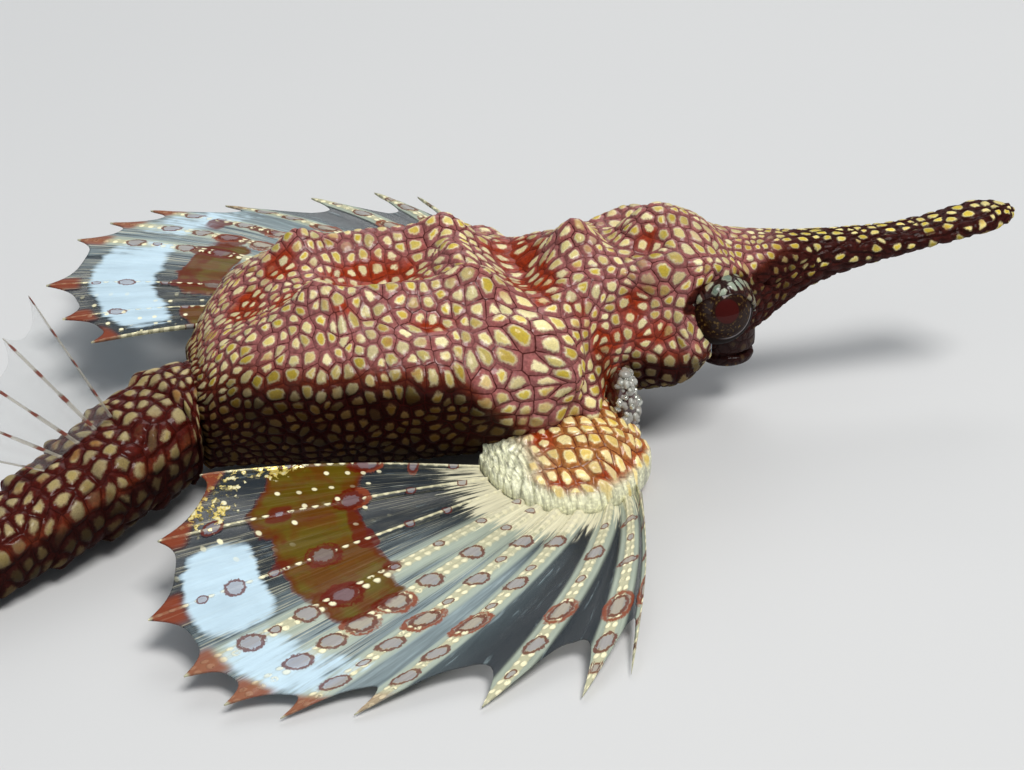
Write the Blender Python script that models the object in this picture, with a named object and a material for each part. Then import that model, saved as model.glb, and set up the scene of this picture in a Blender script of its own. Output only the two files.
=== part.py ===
"""A short dragonfish, also called a sea moth, at life size and at rest on a flat floor.

Metres, +Z up. The snout points toward +X and the animal's left side toward +Y. The floor
is the plane z = 0. Named sizes are written as millimetres times MM. Stations along the
body are measured forward from the rear wall of the carapace, and along the tail backward
from the same wall.
"""

from dataclasses import dataclass
from typing import Callable

import bpy
import bmesh
import numpy as np

MM = 0.001
GAP = 0.3 * MM
FLOOR = 0.0

# Where the body is parted, as stations forward of the carapace's rear wall
NECK_STATION = 24.6 * MM
SNOUT_STATION = 37.5 * MM
TIP_STATION = 54.4 * MM

# The rear end leans toward the side that the tail bends to
REAR_LEAN = -1.2 * MM
REAR_LEAN_LENGTH = 4.0 * MM

# Shares of a half section: belly floor, lower flank, then upper flank and back
BELLY_SHARE = 0.2
LOWER_SHARE = 0.5

# Mesh counts of the body
TRUNK_RINGS = 38
TRUNK_SIDES = 50
HEAD_RINGS = 31
HEAD_SIDES = 48
ROSTRUM_RINGS = 25
ROSTRUM_SIDES = 20
SERRATION = 0.09

# Eyes, and the raised rim round each socket
EYE_RADIUS = 2.35 * MM
EYE_CENTRE = (32.2 * MM, 4.3 * MM, 8.8 * MM)
EYE_SEGMENTS = 20
EYE_RINGS = 12
RIM_RADIUS = 2.95 * MM
RIM_RISE = 0.35 * MM
RIM_WIDTH = 0.6 * MM

# Mouth, a small lobe of two lips that hangs under the base of the snout
MOUTH_CENTRE = (34.7 * MM, 0.0)
MOUTH_HALF_SIZE = (1.9 * MM, 1.75 * MM)
MOUTH_BOTTOM = 2.65 * MM
MOUTH_TOP = 5.9 * MM
MOUTH_LINE_DEPTH = 0.3

# Tail, of bony rings that each widen backward to a raised edge with four corner spines
TAIL_LENGTH = 28.0 * MM
TAIL_RING_COUNT = 8
TAIL_ROOT = (0.0, -2.0 * MM, 4.8 * MM)
TAIL_SIDES = 28
TAIL_PARTS = {"tail_front": (0, 3), "tail_middle": (3, 6), "tail_rear": (6, 8)}
RING_PLACES = (0.0, 0.2, 0.82, 1.0)
RING_SWELLS = (0.92, 0.99, 1.05, 0.93)
CORNER_SWELL = 0.11
CORNER_REACH = 0.45 * MM

# Pectoral fins: a wing of long rays on a fleshy pad below the shoulder
PECTORAL_RAYS = (0.0, 0.14, 0.26, 0.42, 0.527, 0.615, 0.7, 0.81, 0.91, 1.0)
PAD_CENTRE = (20.6 * MM, 9.3 * MM)
PAD_RADII = (5.1 * MM, 5.2 * MM)
PAD_FIRST_ANGLE = 32.0
PAD_LAST_ANGLE = 175.0
PAD_FRONT_ANGLE = -8.0
PAD_EDGE = 0.55 * MM
PAD_RISE = 1.9 * MM

# Gill flap, a soft lobe between the shoulder and the cheek
GILL_CENTRE = (25.3 * MM, 7.0 * MM, 3.6 * MM)
GILL_HALF_SIZE = (1.25 * MM, 2.0 * MM, 2.1 * MM)


def smooth_profile(points, scale=MM):
    """A curve through a few (station, size) pairs that never overshoots them."""
    places = np.array(list(points.keys()), float)
    sizes = np.array(list(points.values()), float) * scale
    step = np.diff(places)
    slope = np.diff(sizes) / step
    tangent = np.zeros_like(sizes)
    before, after = slope[:-1], slope[1:]
    steady = before * after > 0
    total = np.where(steady, before + after, 1.0)
    tangent[1:-1] = np.where(steady, 2.0 * before * after / total, 0.0)
    tangent[0] = slope[0]
    tangent[-1] = slope[-1]

    def curve(place):
        place = np.clip(place, places[0], places[-1])
        index = np.clip(np.searchsorted(places, place, side="right") - 1, 0, len(step) - 1)
        width = step[index]
        t = (place - places[index]) / width
        start = (2 * t**3 - 3 * t**2 + 1) * sizes[index] + (t**3 - 2 * t**2 + t) * width * tangent[index]
        end = (3 * t**2 - 2 * t**3) * sizes[index + 1] + (t**3 - t**2) * width * tangent[index + 1]
        return start + end

    return curve


# Profiles of the body by station, both in millimetres
HALF_WIDTH = smooth_profile(
    {0: 5.0, 0.6: 5.8, 1.5: 6.8, 3: 8.2, 6: 9.6, 11: 10.2, 16: 10.4, 20: 9.9, 21.5: 8.5, 22.5: 7.2, 23.5: 6.3,
     24.6: 5.9, 26: 5.5, 27.5: 5.4, 29.5: 5.6, 31: 5.4, 33: 4.6, 35: 3.4, 37.5: 2.35, 41: 1.7, 45: 1.55,
     49: 1.65, 52: 1.85, 53.6: 1.4, 54.4: 0.6}
)
WIDEST_HEIGHT = smooth_profile(
    {0: 6.0, 3: 8.0, 8: 8.6, 13: 8.4, 17: 7.0, 21: 5.4, 24: 6.0, 26: 7.5, 29: 7.5, 33: 8.3, 37.5: 9.6,
     41: 10.1, 46: 10.4, 52: 11.2, 54.4: 11.6}
)
BACK_HEIGHT = smooth_profile(
    {0: 7.9, 0.6: 8.7, 2: 9.9, 5: 11.4, 8: 12.0, 13: 12.1, 17: 12.0, 20.5: 11.3, 23: 12.4, 26: 12.8,
     29.5: 13.8, 32: 13.3, 34: 12.1, 36: 11.75, 37.5: 11.6, 41: 11.3, 46: 11.15, 50: 11.6, 53: 12.1, 54.4: 11.9}
)
BELLY_HEIGHT = smooth_profile(
    {0: 1.6, 4: 1.75, 12: 1.8, 20: 1.9, 23.5: 2.1, 26: 2.9, 29: 3.4, 31.5: 4.2, 33: 4.9, 35: 5.2,
     36.5: 5.8, 38: 6.8, 40: 7.95, 43: 8.85, 47: 9.65, 51: 10.5, 54.4: 11.3}
)
BELLY_HALF_WIDTH = smooth_profile(
    {0: 2.8, 4: 4.5, 12: 6.0, 18: 6.0, 22: 4.8, 25: 3.0, 30: 2.4, 34: 1.4, 37.5: 0.8, 41: 0.5, 54.4: 0.3}
)

# Humps and pits, mirrored to both sides: station, side, height, rise, spreads, push
HUMPS = (
    # Carapace: the two dorsal ridges with their humps, and the pits between and beside them
    (11.0, 4.3, 12.0, 0.9, (7.5, 1.3, 4.0), (0.0, 1.0)),
    (6.9, 4.0, 12.0, 1.0, (1.3, 1.3, 4.0), (0.0, 1.0)),
    (8.3, 5.8, 11.4, 0.6, (0.9, 0.9, 3.0), (0.3, 1.0)),
    (16.6, 4.2, 12.0, 1.0, (1.6, 1.5, 4.0), (0.0, 1.0)),
    (16.3, 0.0, 12.0, 1.0, (1.2, 3.0, 4.0), (0.0, 1.0)),
    (11.2, 0.0, 12.0, -1.5, (3.2, 2.3, 4.0), (0.0, 1.0)),
    (20.3, 0.0, 11.3, -0.9, (1.6, 3.2, 4.0), (0.0, 1.0)),
    (3.5, 0.0, 11.0, -0.6, (1.6, 2.2, 3.0), (0.0, 1.0)),
    (24.0, 0.0, 12.8, 1.4, (1.2, 1.4, 4.0), (0.0, 1.0)),
    (9.6, 5.8, 11.2, -0.5, (0.9, 0.9, 2.0), (0.2, 1.0)),
    (13.4, 6.6, 10.8, -0.6, (1.6, 1.1, 2.0), (0.3, 1.0)),
    # Knobs along the side ridge of the carapace
    (3.3, 8.0, 8.4, 0.5, (0.9, 2.0, 1.3), (1.0, 0.2)),
    (6.2, 9.6, 8.6, 0.55, (1.0, 2.0, 1.3), (1.0, 0.2)),
    (9.5, 10.0, 8.6, 0.5, (1.0, 2.0, 1.3), (1.0, 0.2)),
    (12.6, 10.3, 8.4, 0.55, (1.0, 2.0, 1.3), (1.0, 0.2)),
    (15.6, 10.4, 7.6, 0.6, (1.0, 2.0, 1.3), (1.0, 0.2)),
    # Shoulder ridge, down to the pad of the fin
    (18.6, 7.6, 10.5, 0.8, (1.2, 1.3, 1.8), (0.5, 0.8)),
    (20.3, 7.5, 10.0, 1.0, (1.0, 1.6, 1.4), (0.6, 0.7)),
    (21.6, 8.0, 7.8, 1.6, (1.1, 2.5, 1.8), (1.0, 0.1)),
    (23.2, 7.0, 4.6, 2.6, (1.2, 2.5, 2.0), (1.0, 0.0)),
    # Head: crest, side ridge and brow, the pits behind them, cheek plate and its step
    (29.6, 0.0, 14.0, 0.6, (1.9, 1.3, 4.0), (0.0, 1.0)),
    (26.5, 0.0, 13.0, -0.8, (0.9, 2.0, 4.0), (0.0, 1.0)),
    (27.8, 4.3, 11.8, 0.8, (3.0, 0.8, 1.4), (0.5, 0.8)),
    (32.2, 4.0, 11.2, 0.7, (1.9, 1.0, 0.9), (0.7, 0.7)),
    (28.2, 2.2, 13.0, -1.1, (1.3, 0.9, 3.0), (0.0, 1.0)),
    (26.8, 5.3, 9.8, -0.6, (1.3, 1.3, 1.1), (1.0, 0.0)),
    (29.4, 5.0, 5.3, 0.8, (1.7, 2.0, 1.6), (0.9, -0.3)),
    (32.7, 4.2, 5.5, -1.5, (0.9, 1.6, 1.7), (0.9, -0.2)),
    # Nostrils, two on each side in front of the eye
    (35.0, 3.3, 9.9, -0.55, (0.45, 1.2, 0.45), (1.0, 0.0)),
    (36.2, 2.8, 9.3, -0.5, (0.4, 1.2, 0.4), (1.0, 0.0)),
)

# Profiles of the tail by length along it, in millimetres; angles in degrees
TAIL_HALF_WIDTH = smooth_profile({0: 3.1, 3: 3.4, 7: 3.3, 14: 2.7, 21: 1.9, 28: 1.2})
TAIL_HALF_HEIGHT = smooth_profile({0: 2.75, 3: 3.1, 7: 2.9, 14: 2.35, 21: 1.65, 28: 1.0})
TAIL_HEADING = smooth_profile({0: 30, 4: 44, 10: 38, 18: 32, 28: 27}, scale=1.0)
TAIL_FALL = smooth_profile({0: 5, 10: 8, 20: 10, 28: 4}, scale=1.0)

# Height of a pectoral ray's root by its place from the first ray, 0, to the last, 1
RAY_ROOT_HEIGHT = smooth_profile({0: 1.2, 0.4: 1.4, 1: 2.6})


@dataclass(frozen=True)
class Wing:
    """Profiles of a pectoral fin by place from its first ray, 0, to its last, 1.

    Each ray has a length, a heading in degrees from straight out toward the tail, a
    sideways bow toward the head, and the height of its tip.
    """

    length: Callable
    heading: Callable
    bow: Callable
    tip_height: Callable


RIGHT_WING = Wing(
    length=smooth_profile({0: 17, 0.2: 17.9, 0.4: 20.3, 0.65: 23.2, 0.8: 22.6, 0.9: 20.2, 1: 16.5}),
    heading=smooth_profile(
        {0: 19, 0.1: 22, 0.22: 33, 0.34: 45, 0.46: 51, 0.58: 56, 0.7: 62, 0.8: 68, 0.9: 77, 1: 86}, scale=1.0
    ),
    bow=smooth_profile({0: 0.5, 0.4: 1.7, 0.8: 1.2, 1: 0.3}),
    tip_height=smooth_profile({0: 0.2, 0.5: 0.2, 0.62: 0.7, 0.75: 1.6, 0.87: 3.2, 1: 5.2}),
)
LEFT_WING = Wing(
    length=smooth_profile({0: 17, 0.2: 18.5, 0.4: 21.5, 0.55: 26, 0.7: 26.8, 0.8: 26, 0.9: 24, 1: 22}),
    heading=smooth_profile(
        {0: 19, 0.1: 22, 0.22: 32, 0.34: 42, 0.46: 48, 0.56: 54, 0.7: 63, 0.8: 77, 0.9: 88, 1: 97}, scale=1.0
    ),
    bow=smooth_profile({0: 0.5, 0.4: 1.7, 0.8: 1.2, 1: 1.0}),
    tip_height=smooth_profile({0: 4.9, 0.5: 5.0, 0.75: 5.2, 1: 5.5}),
)


def clear_scene():
    """Empty the scene, whatever it holds."""
    for obj in list(bpy.data.objects):
        bpy.data.objects.remove(obj, do_unlink=True)


def make_material(name, colour, roughness, metallic=0.0):
    """A plain Principled material in the animal's own colour."""
    material = bpy.data.materials.new(name)
    material.use_nodes = True
    shader = material.node_tree.nodes["Principled BSDF"]
    shader.inputs["Base Color"].default_value = (*colour, 1.0)
    shader.inputs["Roughness"].default_value = roughness
    shader.inputs["Metallic"].default_value = metallic
    material.diffuse_color = (*colour, 1.0)
    return material


def add_solid(name, points, faces, material):
    """Add a closed mesh object whose faces point outward."""
    mesh = bpy.data.meshes.new(name)
    mesh.from_pydata(np.asarray(points).tolist(), [], np.asarray(faces).tolist())
    shell = bmesh.new()
    shell.from_mesh(mesh)
    bmesh.ops.recalc_face_normals(shell, faces=shell.faces)
    shell.to_mesh(mesh)
    shell.free()
    mesh.shade_smooth()
    mesh.set_sharp_from_angle(angle=np.radians(50.0))
    obj = bpy.data.objects.new(name, mesh)
    bpy.context.scene.collection.objects.link(obj)
    if material:
        mesh.materials.append(material)
    return obj


def grid_faces(rows, columns, first, closed):
    """Triangles of a grid of points, whose columns close on themselves if asked."""
    row = np.arange(rows - 1)[:, None]
    column = np.arange(columns if closed else columns - 1)[None, :]
    after = (column + 1) % columns
    a = first + row * columns + column
    b = first + row * columns + after
    c = a + columns
    d = b + columns
    return np.concatenate([np.stack([a, b, d], -1).reshape(-1, 3), np.stack([a, d, c], -1).reshape(-1, 3)])


def tube_mesh(rings):
    """Points and triangles of a tube of closed rings, with a fan over each end."""
    count, sides, _ = rings.shape
    points = np.concatenate([rings.reshape(-1, 3), rings[0].mean(0)[None], rings[-1].mean(0)[None]])
    ring = np.arange(sides)
    after = (ring + 1) % sides
    start = np.stack([after, ring, np.full(sides, count * sides)], -1)
    last = (count - 1) * sides
    end = np.stack([last + ring, last + after, np.full(sides, count * sides + 1)], -1)
    return points, np.concatenate([grid_faces(count, sides, 0, True), start, end])


def slab_mesh(upper, lower):
    """Points and triangles of a slab between two grids of points, split alike on both."""
    count, rows, _ = upper.shape
    points = np.concatenate([upper.reshape(-1, 3), lower.reshape(-1, 3)])
    top = grid_faces(count, rows, 0, False)
    bottom = grid_faces(count, rows, count * rows, False)[:, ::-1]
    around = np.concatenate(
        [np.arange(rows), np.arange(1, count) * rows + rows - 1,
         (count - 1) * rows + np.arange(rows - 2, -1, -1), np.arange(count - 2, 0, -1) * rows]
    )
    after = np.roll(around, -1)
    below = around + count * rows
    below_after = after + count * rows
    first = np.stack([around, below_after, after], -1)
    second = np.stack([around, below, below_after], -1)
    return points, np.concatenate([top, bottom, first, second])


def body_rings(stations, sides):
    """Sections of the trunk, head or rostrum at the stations, as an array of closed rings.

    A half section runs over the flat belly, up a quarter curve to the widest line, and up
    another to the middle of the back. Humps and pits are then pushed out of or into it.
    """
    turn = (np.arange(sides) + 0.5) / sides
    half = 1.0 - np.abs(2.0 * turn - 1.0)
    side = np.where(turn < 0.5, 1.0, -1.0)
    place = stations / MM
    wide = HALF_WIDTH(place)[:, None]
    widest = WIDEST_HEIGHT(place)[:, None]
    back = BACK_HEIGHT(place)[:, None]
    belly = BELLY_HEIGHT(place)[:, None]
    belly_wide = BELLY_HALF_WIDTH(place)[:, None]
    lower = np.radians(90.0) * (1.0 - np.clip((half - BELLY_SHARE) / (LOWER_SHARE - BELLY_SHARE), 0, 1))
    upper = np.radians(90.0) * np.clip((half - LOWER_SHARE) / (1.0 - LOWER_SHARE), 0, 1)
    square = smooth_profile({0: 1.25, 22: 1.2, 27: 1.0, 37.5: 1.0, 54.4: 0.9}, scale=1.0)(place)[:, None]
    y_low = belly_wide + (wide - belly_wide) * np.cos(lower) ** square
    z_low = widest - (widest - belly) * np.sin(lower) ** square
    y_high = wide * np.cos(upper) ** 0.87
    z_high = widest + (back - widest) * np.sin(upper) ** 0.87
    on_floor = half < BELLY_SHARE
    y = np.where(half < LOWER_SHARE, y_low, y_high)
    z = np.where(half < LOWER_SHARE, z_low, z_high)
    y = np.where(on_floor, belly_wide * half / BELLY_SHARE, y)
    z = np.where(on_floor, belly, z)
    x = np.broadcast_to(stations[:, None], y.shape)
    push_y = np.zeros_like(y)
    push_z = np.zeros_like(z)
    for station, out, height, rise, spread, push in HUMPS:
        reach = ((x / MM - station) / spread[0]) ** 2
        reach = reach + ((y / MM - out) / spread[1]) ** 2
        reach = reach + ((z / MM - height) / spread[2]) ** 2
        weight = rise * MM * np.exp(-reach)
        push_y += push[0] * weight
        push_z += push[1] * weight
    away = np.hypot(x - EYE_CENTRE[0], z - EYE_CENTRE[2]) - RIM_RADIUS
    push_y += RIM_RISE * np.exp(-((away / RIM_WIDTH) ** 2)) * np.clip(y / EYE_CENTRE[1], 0.0, 1.0) ** 2
    lean = REAR_LEAN * np.clip(1.0 - stations / REAR_LEAN_LENGTH, 0.0, 1.0) ** 2
    return np.stack([x, side * (y + push_y) + lean[:, None], z + push_z], -1)


def build_trunk(material):
    """The carapace, from its rear wall to the neck, with its rings closer at both ends."""
    share = np.linspace(0.0, 1.0, TRUNK_RINGS)
    stations = (NECK_STATION - GAP / 2) * (share - 0.06 * np.sin(2 * np.pi * share))
    return add_solid("trunk", *tube_mesh(body_rings(stations, TRUNK_SIDES)), material)


def build_head(material):
    """The head, from the neck to the base of the snout, with a socket cut for each eye."""
    stations = np.linspace(NECK_STATION + GAP / 2, SNOUT_STATION - GAP / 2, HEAD_RINGS)
    head = add_solid("head", *tube_mesh(body_rings(stations, HEAD_SIDES)), material)
    for side in (1, -1):
        cut_away(head, add_ball("socket", side, EYE_RADIUS + GAP, None))
    return head


def build_rostrum(material):
    """The long flat snout, a little wider again at its tip, with a serrated edge."""
    stations = np.linspace(SNOUT_STATION + GAP / 2, TIP_STATION, ROSTRUM_RINGS)
    rings = body_rings(stations, ROSTRUM_SIDES)
    tooth = 1.0 + SERRATION * np.where(np.arange(ROSTRUM_RINGS) % 2, 1.0, -0.4)
    edge = (np.abs(rings[..., 1]) / HALF_WIDTH(stations / MM)[:, None]) ** 4
    rings[2:-1, :, 1] *= (1.0 + (tooth[:, None] - 1.0) * edge)[2:-1]
    return add_solid("rostrum", *tube_mesh(rings), material)


def add_ball(name, side, radius, material):
    """A ball at an eye's place, with its poles on the line across the head."""
    lift = np.linspace(-90.0, 90.0, EYE_RINGS + 1)[1:-1]
    turn = np.linspace(0.0, 360.0, EYE_SEGMENTS, endpoint=False)
    lift, turn = np.radians(lift)[:, None], np.radians(turn)[None, :]
    flat = np.cos(lift) * np.ones_like(turn)
    ring = np.stack([flat * np.cos(turn), np.sin(lift) + 0 * turn, flat * np.sin(turn)], -1)
    points, faces = tube_mesh(ring * radius)
    points[-2:] = np.array([[0, -radius, 0], [0, radius, 0]])
    centre = np.array([EYE_CENTRE[0], side * EYE_CENTRE[1], EYE_CENTRE[2]])
    return add_solid(name, points + centre, faces, material)


def cut_away(target, cutter):
    """Cut one closed mesh out of another, keep the largest piece, and drop the cutter."""
    cut = target.modifiers.new("cut", "BOOLEAN")
    cut.operation = "DIFFERENCE"
    cut.solver = "EXACT"
    cut.object = cutter
    graph = bpy.context.evaluated_depsgraph_get()
    graph.update()
    mesh = bpy.data.meshes.new_from_object(target.evaluated_get(graph))
    target.modifiers.clear()
    keep_largest(mesh)
    target.data = mesh
    bpy.data.objects.remove(cutter, do_unlink=True)


def keep_largest(mesh):
    """Leave only the largest closed surface of a mesh."""
    shell = bmesh.new()
    shell.from_mesh(mesh)
    left = set(shell.faces)
    groups = []
    while left:
        group = {left.pop()}
        front = list(group)
        while front:
            near = {face for edge in front.pop().edges for face in edge.link_faces} - group
            group |= near
            front.extend(near)
        left -= group
        groups.append(group)
    largest = max(groups, key=lambda group: sum(face.calc_area() for face in group))
    drop = [face for face in shell.faces if face not in largest]
    bmesh.ops.delete(shell, geom=drop, context="FACES")
    loose = [vert for vert in shell.verts if not vert.link_faces]
    bmesh.ops.delete(shell, geom=loose, context="VERTS")
    bmesh.ops.triangulate(shell, faces=shell.faces)
    shell.to_mesh(mesh)
    shell.free()


def build_mouth(head, material):
    """The small mouth under the snout: two lips with the mouth's line between them."""
    share = np.array([0.0, 0.06, 0.15, 0.26, 0.33, 0.4, 0.46, 0.56, 0.8, 1.0])[:, None]
    swell = np.array([0.42, 0.76, 0.96, 1.0, 0.95, 1.0, 1.0, 1.03, 1.0, 1.0])[:, None]
    line = np.array([0, 0, 0, 0.2, 0.8, 1.0, 0.2, 0, 0, 0])[:, None]
    turn = np.linspace(0.0, 2 * np.pi, 18, endpoint=False)[None, :]
    facing = np.clip(0.45 + 0.55 * np.cos(turn), 0.0, 1.0)
    size = swell * (1.0 - MOUTH_LINE_DEPTH * line * facing)
    x = MOUTH_CENTRE[0] + MOUTH_HALF_SIZE[0] * size * np.cos(turn)
    y = MOUTH_CENTRE[1] + MOUTH_HALF_SIZE[1] * size * np.sin(turn)
    z = MOUTH_BOTTOM + (MOUTH_TOP - MOUTH_BOTTOM) * share + 0.0 * turn
    mouth = add_solid("mouth", *tube_mesh(np.stack([x, y, z], -1)), material)
    cut_away(mouth, grown_copy(head))
    return mouth


def tail_path():
    """Fine samples of the tail's middle line: lengths, points and headings."""
    length = np.linspace(0.0, TAIL_LENGTH, 281)
    heading = np.radians(TAIL_HEADING(length / MM))
    fall = np.radians(TAIL_FALL(length / MM))
    step = np.stack([-np.cos(heading) * np.cos(fall), -np.sin(heading) * np.cos(fall), -np.sin(fall)], -1)
    run = np.cumsum((step[1:] + step[:-1]) / 2, axis=0) * (length[1] - length[0])
    points = np.array(TAIL_ROOT) + np.concatenate([np.zeros((1, 3)), run])
    return length, points, heading


def tail_rings(lengths, swell, corner, sides=TAIL_SIDES):
    """Four-sided rings round the tail's middle line at the lengths, swollen as given.

    The first ring lies in the plane of the carapace's rear wall, and the next ones turn
    square to the middle line within a few millimetres. Where corner is 1 the four corners
    are drawn out and back into short spines.
    """
    fine, line, heading = tail_path()
    centre = np.stack([np.interp(lengths, fine, line[:, axis]) for axis in range(3)], -1)
    squared = np.clip(lengths / (4.0 * MM), 0.0, 1.0)
    turned = np.interp(lengths, fine, heading) * squared
    across = np.stack([-np.sin(turned), np.cos(turned), 0 * turned], -1)
    place = lengths / MM
    angle = (np.arange(sides) + 0.5) / sides * 2 * np.pi
    blunt = 0.75
    flat = np.sign(np.cos(angle)) * np.abs(np.cos(angle)) ** blunt
    tall = np.sign(np.sin(angle)) * np.abs(np.sin(angle)) ** blunt
    spine = corner[:, None] * np.abs(np.sin(2 * angle)) ** 12
    size = swell[:, None] * (1.0 + CORNER_SWELL * spine)
    wide = TAIL_HALF_WIDTH(place)[:, None] * size * flat
    high = TAIL_HALF_HEIGHT(place)[:, None] * size * tall
    back = np.stack([-np.cos(turned), -np.sin(turned), 0 * turned], -1)
    rings = centre[:, None, :] + wide[..., None] * across[:, None, :]
    rings += (CORNER_REACH * spine)[..., None] * back[:, None, :]
    rings[..., 2] += high
    rings[..., 2] = np.maximum(rings[..., 2], FLOOR)
    return rings


def build_tail(material):
    """The jointed tail in three lengths, each of a few bony rings."""
    ring_length = TAIL_LENGTH / TAIL_RING_COUNT
    for name, (first, last) in TAIL_PARTS.items():
        lengths = [(ring + place) * ring_length for ring in range(first, last) for place in RING_PLACES[:-1]]
        lengths = np.array(lengths + [last * ring_length - GAP / 2])
        lengths[0] += GAP / 2 if first else GAP
        swell = np.array([*RING_SWELLS[:-1] * (last - first), RING_SWELLS[-1]])
        corner = (swell == max(RING_SWELLS)).astype(float)
        add_solid(name, *tube_mesh(tail_rings(lengths, swell, corner)), material)


def fin_mesh(surface, rays, rows, ray_width, ray_thick, sheet_thick, notch, free_tip):
    """Points and triangles of a fin: rays as ridges on a thin membrane, both faces alike.

    surface(u, v) gives the middle surface, u across the rays from 0 to 1 and v from root
    to tip, and rays are the rays' places across. Each ray takes three columns of points
    and each membrane one between them.
    The membrane ends at the notch's share of the length, and the ray's sides end at the
    free tip's share.
    """
    columns = [(rays[0], -1, free_tip), (rays[0], 0, 1.0), (rays[0], 1, free_tip)]
    for before, u in zip(rays, rays[1:]):
        between = (before + u) / 2
        columns.append((between, None, notch(between)))
        columns += [(u, -1, free_tip), (u, 0, 1.0), (u, 1, free_tip)]
    places = np.array([column[0] for column in columns])
    reach = np.array([column[2] for column in columns])
    shift = np.array([column[1] or 0 for column in columns], float)
    is_ray = np.array([column[1] == 0 for column in columns])
    share = np.linspace(0.0, 1.0, rows)[None, :]
    v = share * reach[:, None]
    nudge = 0.01
    u = np.repeat(places[:, None], rows, axis=1)
    spread = np.linalg.norm(surface(u + nudge, v) - surface(u - nudge, v), axis=-1) / (2 * nudge)
    half = ray_width(v) / 2
    u = u + shift[:, None] * np.minimum(half / spread, 0.3 * min(np.diff(rays)))
    middle = surface(u, v)
    along = surface(u, v + nudge) - surface(u, np.maximum(v - nudge, 0.0))
    over = surface(u + nudge, v) - surface(u - nudge, v)
    normal = np.cross(over, along)
    normal /= np.linalg.norm(normal, axis=-1, keepdims=True)
    thick = np.where(is_ray[:, None], ray_thick(v), sheet_thick(v)) / 2
    upper = middle + normal * thick[..., None]
    lower = middle - normal * thick[..., None]
    for face in (upper, lower):
        face[..., 2] = np.maximum(face[..., 2], FLOOR)
    return slab_mesh(upper, lower)


def pectoral_root(u, shrink=0.0):
    """Points along the rim of the shoulder pad, for the animal's left side."""
    angle = np.radians(PAD_FIRST_ANGLE + (PAD_LAST_ANGLE - PAD_FIRST_ANGLE) * u)
    x = PAD_CENTRE[0] + (PAD_RADII[0] - shrink) * np.cos(angle)
    y = PAD_CENTRE[1] + (PAD_RADII[1] - shrink) * np.sin(angle)
    return np.stack([x, y, RAY_ROOT_HEIGHT(u)], -1)


def pectoral_surface(wing):
    """The middle surface of a pectoral fin, laid out on the left side."""

    def surface(u, v):
        inside = np.clip(u, 0.0, 1.0)
        root = pectoral_root(u)
        heading = np.radians(wing.heading(inside) + (u - inside) * 100.0)
        length = wing.length(inside)
        bow = wing.bow(inside) * 4 * v * (1 - v)
        x = root[..., 0] - np.sin(heading) * length * v + np.cos(heading) * bow
        y = root[..., 1] + np.cos(heading) * length * v + np.sin(heading) * bow
        tip = wing.tip_height(inside)
        arch = 0.9 * MM * 4 * v * (1 - v)
        z = root[..., 2] + (tip - root[..., 2]) * v**1.4 + arch
        return np.stack([x, y, z], -1)

    return surface


def pectoral_notch(u):
    """How far out the membrane reaches: deep notches in front, almost none behind."""
    return 0.72 + 0.2 * np.clip((u - 0.15) / 0.45, 0.0, 1.0)


def mirror(points, side):
    """The same points on the animal's left, 1, or right, -1."""
    return points * np.array([1.0, side, 1.0])


def build_pectoral(name, side, wing, material):
    """One wing-like fin with its rays."""
    points, faces = fin_mesh(
        pectoral_surface(wing), PECTORAL_RAYS, 10,
        ray_width=lambda v: (0.8 - 0.35 * v) * MM,
        ray_thick=lambda v: (1.0 - 0.55 * v) * MM,
        sheet_thick=lambda v: (0.55 - 0.15 * np.clip(v * 4 - 3, 0, 1)) * MM,
        notch=pectoral_notch, free_tip=0.95,
    )
    return add_solid(name, mirror(points, side), faces, material)


def build_pad(name, side, neighbours, material):
    """The fleshy pad between the trunk and the fin, cut to lie against the body.

    It is a low cushion. Its rim follows the roots of the rays and then closes in front
    with a short lobe, and its inner edge lies under the shoulder until the body is cut out.
    """
    columns, rows = 17, 7
    angle = np.linspace(PAD_FRONT_ANGLE, PAD_LAST_ANGLE + 4.0, columns)
    u = ((angle - PAD_FIRST_ANGLE) / (PAD_LAST_ANGLE - PAD_FIRST_ANGLE))[:, None]
    share = np.linspace(0.0, 1.0, rows)[None, :]
    rim = pectoral_root(u, shrink=GAP)[:, 0, :][:, None, :]
    rim = rim + np.array([1.0 * MM, 0.3 * MM, 0.0]) * np.clip(-4.0 * u, 0.0, 1.0)[..., None]
    inner = np.stack([(17.6 + 6.4 * (1 - np.clip(u, 0, 1))) * MM, 0 * u + 7.0 * MM, 0 * u + 2.9 * MM], -1)
    middle = inner + (rim - inner) * share[..., None]
    dome = PAD_EDGE + PAD_RISE * (1.0 - share**2.5) ** 0.7 * (0.8 + 0.2 * np.sin(np.clip(u, 0, 1) * np.pi))
    upper = middle + dome[..., None] * np.array([0.0, 0.0, 1.0])
    lower = middle - dome[..., None] * np.array([0.0, 0.0, 0.8])
    lower[..., 2] = np.maximum(lower[..., 2], FLOOR + 2 * GAP)
    points, faces = slab_mesh(upper, lower)
    pad = add_solid(name, mirror(points, side), faces, material)
    for neighbour in neighbours:
        cut_away(pad, grown_copy(neighbour))
    return pad


def build_gill(name, side, neighbours, material):
    """The soft flap at the gill opening, cut clear of what it lies between."""
    lift = np.radians(np.linspace(-90.0, 90.0, 9)[1:-1])[:, None]
    turn = np.radians(np.linspace(0.0, 360.0, 14, endpoint=False))[None, :]
    unit = np.stack([np.cos(lift) * np.cos(turn), np.cos(lift) * np.sin(turn), np.sin(lift) + 0 * turn], -1)
    points, faces = tube_mesh(unit * np.array(GILL_HALF_SIZE))
    flap = add_solid(name, mirror(points + np.array(GILL_CENTRE), side), faces, material)
    for neighbour in neighbours:
        cut_away(flap, grown_copy(neighbour))
    return flap


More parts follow.
